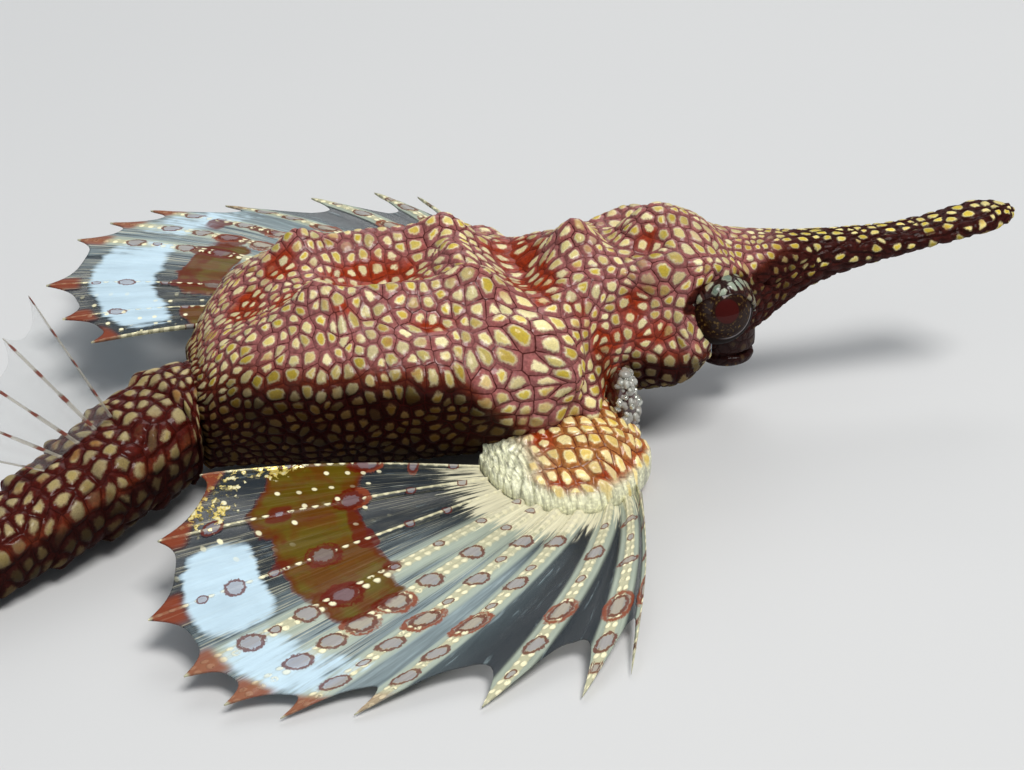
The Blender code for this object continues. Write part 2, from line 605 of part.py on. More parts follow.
def grown_copy(obj):
    """A copy of a mesh object grown by the gap on every side, for cutting its neighbours."""
    mesh = obj.data.copy()
    count = len(mesh.vertices)
    points = np.empty(count * 3)
    normals = np.empty(count * 3)
    mesh.vertices.foreach_get("co", points)
    mesh.vertices.foreach_get("normal", normals)
    mesh.vertices.foreach_set("co", points + normals * GAP * 1.1)
    mesh.update()
    copy = bpy.data.objects.new(obj.name + "_grown", mesh)
    bpy.context.scene.collection.objects.link(copy)
    return copy


def build_pelvic(name, side, material):
    """One finger-like pelvic fin: three rays that reach forward and down to the floor."""

    def surface(u, v):
        x = (16.0 + 8.7 * v + 1.4 * (u - 0.5) * (0.7 + 0.8 * v)) * MM
        y = (3.3 + 2.9 * v - 1.2 * (u - 0.5) * (0.7 + 0.8 * v)) * MM
        length = 1.0 - 0.25 * (1 - u)
        x = 16.0 * MM + (x - 16.0 * MM) * length
        z = (0.92 + 0.25 * 4 * v * (1 - v) - 0.72 * v**1.5) * MM
        return np.stack([x, y, z], -1)

    points, faces = fin_mesh(
        surface, np.linspace(0.0, 1.0, 3), 7,
        ray_width=lambda v: (0.8 - 0.3 * v) * MM,
        ray_thick=lambda v: (1.05 - 0.5 * v) * MM,
        sheet_thick=lambda v: (0.9 - 0.4 * np.clip(v * 2, 0, 1)) * MM,
        notch=lambda u: 0.55, free_tip=0.96,
    )
    return add_solid(name, mirror(points, side), faces, material)


def tail_fin_surface(first, last, reach, lean, roll, over):
    """The middle surface of a fin on the tail's upper or lower middle line.

    first and last are the base's ends along the tail, lean the rays' angle back from
    square, roll their angle sideways, and over is 1 above the tail and -1 below it.
    """
    fine, line, heading = tail_path()

    def surface(u, v):
        length = first + (last - first) * u
        centre = np.stack([np.interp(length, fine, line[:, axis]) for axis in range(3)], -1)
        turned = np.interp(length, fine, heading)
        back = np.stack([-np.cos(turned), -np.sin(turned), 0 * turned], -1)
        across = np.stack([-np.sin(turned), np.cos(turned), 0 * turned], -1)
        up = np.array([0.0, 0.0, 1.0]) * np.ones_like(centre)
        high = TAIL_HALF_HEIGHT(length / MM) * max(RING_SWELLS) + GAP
        root = centre + over * high[..., None] * up
        angle = np.radians(lean(u))[..., None]
        tilt = np.radians(roll)
        out = np.cos(angle) * (np.cos(tilt) * over * up + np.sin(tilt) * across) + np.sin(angle) * back
        return root + out * (reach(u) * v)[..., None]

    return surface


def build_tail_fins(material):
    """The dorsal and the anal fin, opposite each other on the front half of the tail."""
    slim = dict(
        ray_width=lambda v: (0.6 - 0.2 * v) * MM,
        ray_thick=lambda v: (0.75 - 0.3 * v) * MM,
        sheet_thick=lambda v: (0.5 - 0.1 * np.clip(v * 4 - 3, 0, 1)) * MM,
        notch=lambda u: 0.86, free_tip=0.96,
    )
    dorsal = tail_fin_surface(
        7.0 * MM, 12.0 * MM, lambda u: (11.0 - 4.0 * u) * MM, lambda u: 26.0 + 30.0 * u, 0.0, 1
    )
    add_solid("dorsal_fin", *fin_mesh(dorsal, np.linspace(0.0, 1.0, 5), 6, **slim), material)
    anal = tail_fin_surface(
        8.0 * MM, 12.5 * MM, lambda u: (6.5 - 1.5 * u) * MM, lambda u: 50.0 + 8.0 * u, 82.0, -1
    )
    add_solid("anal_fin", *fin_mesh(anal, np.linspace(0.0, 1.0, 5), 6, **slim), material)


def build_caudal(material):
    """The small fan at the end of the tail, its lower edge along the floor."""
    fine, line, heading = tail_path()
    end = line[-1]
    turned = heading[-1]
    back = np.array([-np.cos(turned), -np.sin(turned), 0.0])

    def surface(u, v):
        angle = np.radians(1.0 + 27.0 * u)
        reach = (7.2 + 0.8 * np.sin(u * np.pi)) * MM
        z = end[2] + (-0.62 + 1.24 * u) * MM + np.sin(angle) * reach * v
        run = GAP + np.cos(angle) * reach * v
        return np.concatenate([end[:2] + back[:2] * run[..., None], z[..., None]], -1)

    points, faces = fin_mesh(
        surface, np.linspace(0.0, 1.0, 8), 6,
        ray_width=lambda v: (0.28 + 0.12 * v) * MM,
        ray_thick=lambda v: (0.8 - 0.35 * v) * MM,
        sheet_thick=lambda v: (0.55 - 0.1 * v) * MM,
        notch=lambda u: 0.93, free_tip=0.98,
    )
    return add_solid("caudal_fin", points, faces, material)


def centre_on_floor():
    """Move every solid so that the model's box is centred on the origin."""
    solids = [obj for obj in bpy.data.objects if obj.type == "MESH"]
    clouds = []
    for obj in solids:
        points = np.empty(len(obj.data.vertices) * 3)
        obj.data.vertices.foreach_get("co", points)
        clouds.append(points.reshape(-1, 3))
    low = np.min([cloud.min(0) for cloud in clouds], axis=0)
    high = np.max([cloud.max(0) for cloud in clouds], axis=0)
    shift = np.array([(low[0] + high[0]) / 2, (low[1] + high[1]) / 2, 0.0])
    for obj, cloud in zip(solids, clouds):
        obj.data.vertices.foreach_set("co", (cloud - shift).ravel())
        obj.data.update()


def main():
    """Build every sub-part of the animal."""
    clear_scene()
    hide = make_material("hide", (0.42, 0.17, 0.15), 0.5)
    snout = make_material("snout_hide", (0.25, 0.10, 0.08), 0.45)
    tail_hide = make_material("tail_hide", (0.38, 0.12, 0.10), 0.5)
    eye = make_material("eye", (0.05, 0.03, 0.03), 0.1)
    lip = make_material("lip", (0.16, 0.06, 0.05), 0.45)
    pad_skin = make_material("pad_skin", (0.62, 0.42, 0.25), 0.5)
    gill = make_material("gill", (0.62, 0.50, 0.30), 0.3)
    wing_skin = make_material("wing", (0.72, 0.66, 0.60), 0.35)
    small_fin = make_material("small_fin", (0.60, 0.52, 0.45), 0.35)
    trunk = build_trunk(hide)
    head = build_head(hide)
    build_rostrum(snout)
    build_mouth(head, lip)
    build_tail(tail_hide)
    build_tail_fins(small_fin)
    build_caudal(small_fin)
    for side, word, wing in ((1, "left", LEFT_WING), (-1, "right", RIGHT_WING)):
        add_ball("eye_" + word, side, EYE_RADIUS, eye)
        pad = build_pad("pectoral_base_" + word, side, (trunk, head), pad_skin)
        build_gill("gill_flap_" + word, side, (trunk, head, pad), gill)
        build_pectoral("pectoral_fin_" + word, side, wing, wing_skin)
        build_pelvic("pelvic_fin_" + word, side, small_fin)
    centre_on_floor()


if __name__ == "__main__":
    main()
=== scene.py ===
"""A short dragonfish, or sea moth, at rest on a studio floor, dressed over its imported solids.

Every piece is a surface worked out as whole arrays in the body frame: millimetres times MM,
x forward from the rear wall of the carapace, y to the animal's left and z up from the floor.
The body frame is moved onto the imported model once, by the trunk's own box.
"""

import logging
from dataclasses import dataclass, field
from enum import Enum
from typing import Callable, Iterator, Mapping, Sequence

import bpy
import numpy as np
from mathutils import Matrix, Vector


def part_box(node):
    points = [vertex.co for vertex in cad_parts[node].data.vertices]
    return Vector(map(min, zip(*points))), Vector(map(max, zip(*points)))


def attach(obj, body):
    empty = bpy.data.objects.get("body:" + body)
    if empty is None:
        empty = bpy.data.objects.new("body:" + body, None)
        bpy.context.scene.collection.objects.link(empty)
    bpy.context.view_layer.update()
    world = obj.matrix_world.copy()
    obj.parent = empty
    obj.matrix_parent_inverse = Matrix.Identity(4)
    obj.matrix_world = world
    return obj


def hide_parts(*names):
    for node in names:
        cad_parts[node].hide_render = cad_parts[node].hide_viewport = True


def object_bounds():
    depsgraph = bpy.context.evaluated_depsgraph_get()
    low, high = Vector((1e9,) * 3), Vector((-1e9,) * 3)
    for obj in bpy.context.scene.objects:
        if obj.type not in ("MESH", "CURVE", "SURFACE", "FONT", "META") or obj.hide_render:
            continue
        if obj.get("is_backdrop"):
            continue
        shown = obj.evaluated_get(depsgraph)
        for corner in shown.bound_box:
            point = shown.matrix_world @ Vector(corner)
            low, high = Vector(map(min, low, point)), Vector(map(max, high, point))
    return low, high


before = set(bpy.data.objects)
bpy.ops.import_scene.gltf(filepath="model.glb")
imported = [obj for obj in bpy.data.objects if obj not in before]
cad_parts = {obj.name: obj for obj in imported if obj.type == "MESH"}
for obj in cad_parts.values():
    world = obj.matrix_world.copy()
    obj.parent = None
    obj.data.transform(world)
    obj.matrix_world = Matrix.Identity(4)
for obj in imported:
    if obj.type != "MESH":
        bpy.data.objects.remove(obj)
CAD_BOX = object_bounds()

MM = 0.001
UP = np.array([0.0, 0.0, 1.0])
Array = np.ndarray
Material = bpy.types.Material
Piece = bpy.types.Object
Socket = bpy.types.NodeSocket
Pair = tuple[float, float]
Triple = tuple[float, float, float]
Colour = Triple
Bells = tuple[tuple[Triple, Triple], ...]
Surface = Callable[[Array, Array], Array]
LOG = logging.getLogger("dragonfish")


class Side(Enum):
    """A side of the animal, with the sign of y on it."""

    LEFT = 1
    RIGHT = -1

    @property
    def word(self) -> str:
        """The side's name as it stands in the names of the nodes."""
        return self.name.lower()

    @property
    def flip(self) -> Array:
        """What takes points of the left side to this one."""
        return np.array([1.0, self.value, 1.0])


@dataclass(frozen=True)
class Profile:
    """A curve through a few (place, size) pairs that never overshoots them.

    Between two pairs it is the cubic whose slopes at both ends are the harmonic mean of
    the slopes beside them, or zero where those differ in sign.
    """

    pairs: Mapping[float, float]
    scale: float = MM

    def __call__(self, place: Array) -> Array:
        """Sizes at the places.

        Args:
            place: Where to read the curve, in the pairs' own unit.

        Returns:
            The sizes times the scale.
        """
        places = np.array(list(self.pairs), float)
        sizes = np.array(list(self.pairs.values()), float) * self.scale
        step = np.diff(places)
        slope = np.diff(sizes) / step
        before, after = slope[:-1], slope[1:]
        steady = before * after > 0
        inner = np.where(steady, 2.0 * before * after / np.where(steady, before + after, 1.0), 0.0)
        tangent = np.concatenate([slope[:1], inner, slope[-1:]])
        place = np.clip(place, places[0], places[-1])
        index = np.clip(np.searchsorted(places, place, side="right") - 1, 0, len(step) - 1)
        width = step[index]
        t = (place - places[index]) / width
        start = (2 * t**3 - 3 * t**2 + 1) * sizes[index] + (t**3 - 2 * t**2 + t) * width * tangent[index]
        end = (3 * t**2 - 2 * t**3) * sizes[index + 1] + (t**3 - t**2) * width * tangent[index + 1]
        return start + end


def bounded(value: Array) -> Array:
    """Values held between 0 and 1."""
    return np.clip(value, 0.0, 1.0)


def ease(value: Array, low: float, high: float) -> Array:
    """A smooth rise from 0 at low to 1 at high, or a fall where high is the lower."""
    t = bounded((value - low) / (high - low))
    return t * t * (3.0 - 2.0 * t)


def ramp(length: Array, low: float, high: float) -> Array:
    """The smooth rise or fall of a length in metres, between two in millimetres."""
    return ease(length, low * MM, high * MM)


def hill(value: Array, middle: float, spread: float) -> Array:
    """A bell of height 1, exp(-(d/spread)^2), d being the way from the middle."""
    return np.exp(-(((value - middle) / spread) ** 2))


def blob(point: Array, centre: Sequence[float], spread: Sequence[float]) -> Array:
    """A bell of height 1 round a centre, exp(-(d/spread)^2) summed over the axes, in millimetres."""
    away = (point / MM - np.array(centre)) / np.array(spread)
    return np.exp(-np.sum(away**2, axis=-1))


def greatest(*masks: Array) -> Array:
    """The greatest of several masks."""
    return np.maximum.reduce(masks)


def bells(points: Array, places: Bells, mirrored: bool = False) -> Array:
    """The greatest of several blobs, and of their mirror images too where that is asked."""
    sides = Side if mirrored else (Side.LEFT,)
    return greatest(*(blob(points * side.flip, *place) for place in places for side in sides))


def closed(rings: Array) -> Array:
    """Rings with their first column given again after the last."""
    return np.concatenate([rings, rings[:, :1]], axis=1)


def run_along(rows: Array) -> Array:
    """How far each point of a row lies along it."""
    step = np.linalg.norm(np.diff(rows, axis=1), axis=-1)
    return np.concatenate([np.zeros((len(rows), 1)), np.cumsum(step, axis=1)], axis=1)


def follow(line: Array, run: Array, wanted: Array) -> Array:
    """Points at wanted distances along a line whose own points stand at the distances run."""
    return np.stack([np.interp(wanted, run, axis) for axis in line.T], -1)


def grid_normals(points: Array, wrap: bool) -> Array:
    """Unit normals of a grid of points, as the cross product of its two central differences.

    Args:
        points: Rows by columns by 3.
        wrap: Whether the last column is next to the first.

    Returns:
        Rows by columns by 3.
    """
    turned = np.roll(points, -1, axis=1) - np.roll(points, 1, axis=1)
    across = turned if wrap else np.gradient(points, axis=1)
    normal = np.cross(across, np.gradient(points, axis=0))
    return normal / np.maximum(np.linalg.norm(normal, axis=-1, keepdims=True), 1e-12)


def raised(rings: Array, height: Array) -> Array:
    """Rings pushed outward along their normals.

    Args:
        rings: Rings by sides by 3.
        height: How far each point goes.

    Returns:
        The pushed rings.
    """
    normal = grid_normals(rings, wrap=True)
    outward = np.sign(np.sum(normal * (rings - rings.mean(1, keepdims=True)), axis=-1).mean())
    return rings + normal * outward * height[..., None]


def settle(places: Array, points: Array, size: Array, rounds: int, pace: float = 0.8) -> Array:
    """Push and pull a plane map until neighbours lie as far apart on it as on the surface.

    A pair's wish is its real distance over the size of a cell there. Each point moves by the
    mean of what its pairs ask for, straight and diagonal ones alike.

    Args:
        places: Rows by columns by 2, the map to start from.
        points: Rows by columns by 3, the surface.
        size: Rows by columns, the size of a cell.
        rounds: How many times the points move.
        pace: How much of the mean wish they follow.

    Returns:
        The evened map.
    """
    rows, columns = places.shape[:2]
    pairs = []
    count = np.zeros((rows, columns, 1))
    for down, right in ((1, 0), (0, 1), (1, 1), (1, -1)):
        first = (slice(0, rows - down), slice(max(0, -right), columns - max(0, right)))
        second = (slice(down, rows), slice(max(0, right), columns - max(0, -right)))
        far = np.linalg.norm(points[second] - points[first], axis=-1)
        pairs.append((first, second, 2.0 * far / (size[first] + size[second])))
        count[first] += 1.0
        count[second] += 1.0
    for _ in range(rounds):
        move = np.zeros_like(places)
        for first, second, wish in pairs:
            gap = places[second] - places[first]
            pull = gap * (1.0 - wish / np.maximum(np.linalg.norm(gap, axis=-1), 1e-9))[..., None]
            move[first] += pull
            move[second] -= pull
        places = places + pace * move / count
    return places


def evened(
    places: Array, points: Array, size: Array, coarse: int = 4, rounds: Sequence[int] = (1500, 20)
) -> Array:
    """Settle a map on a coarser grid, carry the shifts over to the fine one and settle that a little.

    Args:
        places: Rows by columns by 2, the map to start from.
        points: Rows by columns by 3, the surface.
        size: Rows by columns, the size of a cell.
        coarse: How many fine steps make a coarse one.
        rounds: Rounds on the coarser grid and on the fine one.

    Returns:
        The evened map.
    """
    lines = [np.unique(np.linspace(0, n - 1, n // coarse).round().astype(int)) for n in places.shape[:2]]
    pick = np.ix_(*lines)
    shift = settle(places[pick], points[pick], size[pick], rounds[0]) - places[pick]
    for axis, line in enumerate(lines):
        fine = np.arange(places.shape[axis])
        shift = np.apply_along_axis(lambda known: np.interp(fine, line, known), axis, shift)
    return settle(places + shift, points, size, rounds[1])


@dataclass
class Patch:
    """Arrays that become one mesh.

    Its quads and its triangles are given twice, by their points in faces and by their places
    on the skin in spots.
    """

    points: Array
    faces: Sequence[Array]
    places: Array
    spots: Sequence[Array]
    layers: dict[str, Array]

    @staticmethod
    def tube(points: Array, places: Array, **layers: Array) -> "Patch":
        """A tube of closed rings with a fan over each end.

        Args:
            points: Rings by sides by 3.
            places: Rings by sides + 1 by 2, with the seam's column given twice.
            layers: Named values of each point, rings by sides by 4.

        Returns:
            The closed patch.
        """
        rings, sides, _ = points.shape
        side = np.arange(sides)

        def faces(width: int) -> tuple[Array, Array]:
            """Quads between rings that are so wide, and the triangles of both fans."""
            after = (side + 1) % width
            row = np.arange(rings - 1)[:, None] * width
            quads = np.stack([row + side, row + after, row + after + width, row + side + width], -1)
            last, hub = (rings - 1) * width, np.full(sides, rings * width)
            fans = [(after, side, hub), (last + side, last + after, hub + 1)]
            return quads.reshape(-1, 4), np.concatenate([np.stack(fan, -1) for fan in fans])

        def capped(value: Array) -> Array:
            """All values in one list, then the means of the first ring and the last."""
            return np.concatenate([value.reshape(-1, value.shape[-1]), value[[0, -1]].mean(1)])

        named = {name: capped(value) for name, value in layers.items()}
        return Patch(capped(points), faces(sides), capped(places), faces(sides + 1), named)

    @staticmethod
    def slab(upper: Array, lower: Array, places: Array, **layers: Array) -> "Patch":
        """A closed slab between two grids of points that share their places.

        Args:
            upper: Columns by rows by 3, the outer face.
            lower: The inner face, of the same shape.
            places: Columns by rows by 2, used by both faces.
            layers: Named values of each point, columns by rows by 4.

        Returns:
            The closed patch.
        """
        size = upper[..., 0].size
        index = np.arange(size).reshape(upper.shape[:2])
        top = np.stack([index[:-1, :-1], index[:-1, 1:], index[1:, 1:], index[1:, :-1]], -1).reshape(-1, 4)
        around = np.concatenate([index[0], index[1:, -1], index[-1, -2::-1], index[-2:0:-1, 0]])
        after = np.roll(around, -1)
        wall = np.stack([after, around, around + size, after + size], -1)
        quads = np.concatenate([top, top[:, ::-1] + size, wall])
        points = np.concatenate([upper.reshape(-1, 3), lower.reshape(-1, 3)])
        named = {name: np.concatenate([value.reshape(size, -1)] * 2) for name, value in layers.items()}
        none = np.zeros((0, 3), int)
        return Patch(points, (quads, none), places.reshape(-1, 2), (quads % size, none), named)

    @staticmethod
    def joined(parts: Sequence["Patch"]) -> "Patch":
        """Several patches as one, each still closed in itself.

        Args:
            parts: Patches with the same layers.

        Returns:
            The joined patch.
        """

        def chain(faces: str, counted: str) -> list[Array]:
            """Faces of all parts, each part's counted on from the ones before."""
            starts = np.cumsum([0] + [len(getattr(part, counted)) for part in parts[:-1]])
            moved = ([face + start for face in getattr(part, faces)] for part, start in zip(parts, starts))
            return [np.concatenate(kind) for kind in zip(*moved)]

        points, places = (
            np.concatenate([getattr(part, name) for part in parts]) for name in ("points", "places")
        )
        named = {name: np.concatenate([part.layers[name] for part in parts]) for name in parts[0].layers}
        return Patch(points, chain("faces", "points"), places, chain("spots", "places"), named)

    def to_object(self, name: str, shift: Array, material: Material) -> Piece:
        """Put the arrays into a mesh object at the origin, with its faces turned outward.

        Args:
            name: The piece's name.
            shift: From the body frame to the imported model's frame, in metres.
            material: What it wears.

        Returns:
            The new object, linked to the scene.
        """
        faces = *self.faces, *self.spots
        quads, tris = self.faces
        corners = self.points[np.concatenate([quads[:, [0, 1, 2]], quads[:, [0, 2, 3]], tris])]
        if np.einsum("ij,ij->", corners[:, 0], np.cross(corners[:, 1], corners[:, 2])) < 0:
            faces = [face[:, ::-1] for face in faces]
        quads, tris, quad_places, tri_places = faces
        totals = np.repeat([4, 3], [len(quads), len(tris)]).astype(np.int32)
        mesh = bpy.data.meshes.new(name)
        mesh.vertices.add(len(self.points))
        mesh.vertices.foreach_set("co", (self.points + shift).astype(np.float32).ravel())
        mesh.loops.add(quads.size + tris.size)
        mesh.loops.foreach_set("vertex_index", np.concatenate([quads.ravel(), tris.ravel()]).astype(np.int32))
        mesh.polygons.add(len(totals))
        mesh.polygons.foreach_set("loop_start", (np.cumsum(totals) - totals).astype(np.int32))
        mesh.polygons.foreach_set("loop_total", totals)
        mesh.update(calc_edges=True)
        corner = np.concatenate([quad_places.ravel(), tri_places.ravel()])
        spots = mesh.uv_layers.new(name="cells")
        spots.data.foreach_set("uv", self.places[corner].astype(np.float32).ravel())
        for layer_name, value in self.layers.items():
            stored = mesh.attributes.new(layer_name, "FLOAT_COLOR", "POINT")
            stored.data.foreach_set("color", value.astype(np.float32).ravel())
        mesh.shade_smooth()
        mesh.materials.append(material)
        piece = bpy.data.objects.new(name, mesh)
        bpy.context.scene.collection.objects.link(piece)
        return piece


@dataclass(frozen=True)
class CellPattern:
    """Polygon cells on the plane of places, alike in a mesh and in its shader."""

    randomness: float = 0.72
    slope: float = 0.45
    reach: float = 0.75

    def read(self, places: Array) -> tuple[Array, Array]:
        """Distances from places to the nearest border and to the middle of the cell.

        Args:
            places: Any shape by 2, one cell to a unit.

        Returns:
            Both distances in widths of a cell, without the last axis.
        """
        flat = np.zeros((places[..., 0].size, 3), np.float32)
        flat[:, :2] = places.reshape(-1, 2)
        mesh = bpy.data.meshes.new("places")
        mesh.vertices.add(len(flat))
        mesh.vertices.foreach_set("co", flat.ravel())
        probe = bpy.data.objects.new("places", mesh)
        bpy.context.scene.collection.objects.link(probe)
        group = bpy.data.node_groups.new("cell_distances", "GeometryNodeTree")
        for way in ("INPUT", "OUTPUT"):
            group.interface.new_socket("Geometry", in_out=way, socket_type="NodeSocketGeometry")
        spot = group.nodes.new("GeometryNodeInputPosition")
        flow = group.nodes.new("NodeGroupInput").outputs[0]
        features = ("DISTANCE_TO_EDGE", "F1")
        for feature in features:
            cells = group.nodes.new("ShaderNodeTexVoronoi")
            cells.voronoi_dimensions = "2D"
            cells.feature = feature
            cells.inputs["Scale"].default_value = 1.0
            cells.inputs["Randomness"].default_value = self.randomness
            store = group.nodes.new("GeometryNodeStoreNamedAttribute")
            store.inputs["Name"].default_value = feature
            group.links.new(spot.outputs[0], cells.inputs["Vector"])
            group.links.new(flow, store.inputs["Geometry"])
            group.links.new(cells.outputs["Distance"], store.inputs["Value"])
            flow = store.outputs["Geometry"]
        group.links.new(flow, group.nodes.new("NodeGroupOutput").inputs[0])
        probe.modifiers.new("cells", "NODES").node_group = group
        found = probe.evaluated_get(bpy.context.evaluated_depsgraph_get()).data.attributes
        values = np.empty((len(features), len(flat)), np.float32)
        for feature, value in zip(features, values):
            found[feature].data.foreach_get("value", value)
        bpy.data.objects.remove(probe, do_unlink=True)
        bpy.data.node_groups.remove(group)
        bpy.data.meshes.remove(mesh)
        edge, away = values.astype(float).reshape(len(features), *places.shape[:-1])
        return edge, away

    def dome(self, places: Array, shoulder: float = 0.26) -> Array:
        """Heights of a domed plate in each cell, from 0 at its border to 1 at its middle.

        It is the root of a smooth rise from the border, less a little with the square of the
        distance from the middle.

        Args:
            places: Any shape by 2, one cell to a unit.
            shoulder: How far in from the border the plate has risen, in widths of a cell.

        Returns:
            The heights, without the last axis.
        """
        edge, away = self.read(places)
        fall = self.slope * bounded(away / self.reach) ** 2
        return np.sqrt(ease(edge, -0.01, shoulder)) * (1.0 - fall)


class Value:
    """A number socket of a shader, which adds a Math node for each operator used on it."""

    def __init__(self, dress: "Dress", socket: Socket) -> None:
        """Wrap a socket of a dress's node tree."""
        self.dress = dress
        self.socket = socket

    def __add__(self, other: "Value | float") -> "Value":
        """Sum, the same with a number before."""
        return self.dress.math("ADD", self, other)

    def __sub__(self, other: "Value | float") -> "Value":
        """Difference."""
        return self.dress.math("SUBTRACT", self, other)

    def __rsub__(self, other: float) -> "Value":
        """A number less this."""
        return self.dress.math("SUBTRACT", other, self)

    def __mul__(self, other: "Value | float") -> "Value":
        """Product, the same with a number before."""
        return self.dress.math("MULTIPLY", self, other)

    def __truediv__(self, other: "Value | float") -> "Value":
        """Quotient."""
        return self.dress.math("DIVIDE", self, other)

    __radd__ = __add__
    __rmul__ = __mul__

    def kept(self) -> "Value":
        """This value held between 0 and 1."""
        return self.dress.math("ADD", self, 0.0, clamp=True)

    def swing(self, amount: float) -> "Value":
        """How far this stands from a half, times an amount."""
        return (self - 0.5) * amount

    def rise(self, low: "Value | float", high: "Value | float") -> "Value":
        """A smooth rise from 0 at low to 1 at high."""
        limits = {"Value": self, "From Min": low, "From Max": high}
        step = self.dress.node("ShaderNodeMapRange", limits, interpolation_type="SMOOTHSTEP")
        return Value(self.dress, step.outputs[0])

    def fall(self, low: "Value | float", high: "Value | float") -> "Value":
        """A smooth fall from 1 at low to 0 at high."""
        return 1.0 - self.rise(low, high)


class Dress:
    """A material under construction, with one Principled shader."""

    def __init__(self, name: str) -> None:
        """Start a material of that name."""
        self.material = bpy.data.materials.new(name)
        self.material.use_nodes = True
        self.tree = self.material.node_tree
        self.shader = self.tree.nodes["Principled BSDF"]

    def put(self, target: Socket, source: object) -> None:
        """Link a value, socket or constant to a socket.

        Args:
            target: The socket.
            source: What it gets.
        """
        if isinstance(source, Value):
            source = source.socket
        if isinstance(source, Socket):
            self.tree.links.new(source, target)
        elif isinstance(source, tuple) and len(source) == 3 and target.type == "RGBA":
            target.default_value = (*source, 1.0)
        else:
            target.default_value = source

    def node(self, kind: str, inputs: Mapping[object, object], **settings: object) -> bpy.types.Node:
        """Add any node.

        Args:
            kind: Blender's name of the node type.
            inputs: Values or links, by the socket's name or number.
            settings: Properties, set before the sockets.

        Returns:
            The node.
        """
        node = self.tree.nodes.new(kind)
        for key, setting in settings.items():
            setattr(node, key, setting)
        for key, source in inputs.items():
            self.put(node.inputs[key], source)
        return node

    def math(self, operation: str, *operands: Value | float, clamp: bool = False) -> Value:
        """A Math node on the operands, as a value."""
        node = self.node("ShaderNodeMath", dict(enumerate(operands)), operation=operation, use_clamp=clamp)
        return Value(self, node.outputs[0])

    def mix(self, first: object, second: object, factor: Value | float) -> Socket:
        """A colour between two, first at factor 0 and second at 1."""
        inputs = {0: factor, 6: first, 7: second}
        return self.node("ShaderNodeMix", inputs, data_type="RGBA", clamp_factor=True).outputs[2]

    def coats(self, colour: object, *layers: tuple[object, Value | float]) -> Socket:
        """A colour with others laid over it in turn, each with its share."""
        for layer, share in layers:
            colour = self.mix(colour, layer, share)
        return colour

    def shaded(self, colour: object, amount: Value) -> Socket:
        """A colour times a number."""
        grey = self.node("ShaderNodeCombineColor", {0: amount, 1: amount, 2: amount}).outputs[0]
        inputs = {0: 1.0, 6: colour, 7: grey}
        return self.node("ShaderNodeMix", inputs, data_type="RGBA", blend_type="MULTIPLY").outputs[2]

    def parts(self, vector: Socket) -> tuple[Value, Value, Value]:
        """The three numbers of a vector or colour."""
        split = self.node("ShaderNodeSeparateXYZ", {0: vector})
        return tuple(Value(self, socket) for socket in split.outputs)

    def places(self) -> Socket:
        """The piece's own places."""
        return self.node("ShaderNodeUVMap", {}, uv_map="cells").outputs[0]

    def body(self) -> Socket:
        """Object coordinates, in metres."""
        return self.node("ShaderNodeTexCoord", {}).outputs["Object"]

    def stretched(self, vector: Socket, factors: Colour) -> Socket:
        """A vector times three numbers, axis by axis."""
        return self.node("ShaderNodeVectorMath", {0: vector, 1: factors}, operation="MULTIPLY").outputs[0]

    def layer(self, name: str) -> tuple[Value, Value, Value, Value]:
        """The four numbers of a named layer of the mesh."""
        node = self.node("ShaderNodeAttribute", {}, attribute_name=name)
        colour = self.node("ShaderNodeSeparateColor", {0: node.outputs["Color"]})
        return tuple(Value(self, socket) for socket in (*colour.outputs, node.outputs["Alpha"]))

    def noise(self, vector: Socket, scale: float, detail: float = 2.0) -> Value:
        """Soft noise about 0.5."""
        inputs = {"Vector": vector, "Scale": scale, "Detail": detail, "Roughness": 0.55}
        return Value(self, self.node("ShaderNodeTexNoise", inputs).outputs[0])

    def chance(self, number: Value) -> Value:
        """A chance number for each whole number."""
        which = self.math("ROUND", number)
        drawn = self.node("ShaderNodeTexWhiteNoise", {"W": which}, noise_dimensions="1D")
        return Value(self, drawn.outputs[0])

    def cells(self, vector: object, pattern: CellPattern) -> tuple[Value, Value, tuple[Value, Value, Value]]:
        """The distances to a cell's border and middle, and three chance numbers of each cell.

        Args:
            vector: The places.
            pattern: How irregular the cells are.

        Returns:
            Both distances and the three numbers.
        """
        inputs = {"Vector": vector, "Scale": 1.0, "Randomness": pattern.randomness}
        border, middle = (
            self.node("ShaderNodeTexVoronoi", inputs, voronoi_dimensions="2D", feature=feature)
            for feature in ("DISTANCE_TO_EDGE", "F1")
        )
        edge, away = (Value(self, node.outputs["Distance"]) for node in (border, middle))
        return edge, away, self.parts(middle.outputs["Color"])

    def bump(self, height: Value, distance: float) -> None:
        """Wire a height, 0 to 1 over the distance in metres, into the shader's normal."""
        node = self.node("ShaderNodeBump", {"Strength": 1.0, "Distance": distance, "Height": height})
        self.put(self.shader.inputs["Normal"], node.outputs[0])

    def wear(self, **sockets: object) -> Material:
        """Set the shader's sockets, whose names have _ for a space.

        Args:
            sockets: Constants, values or links.

        Returns:
            The finished material.
        """
        for key, source in sockets.items():
            self.put(self.shader.inputs[key.replace("_", " ")], source)
        return self.material


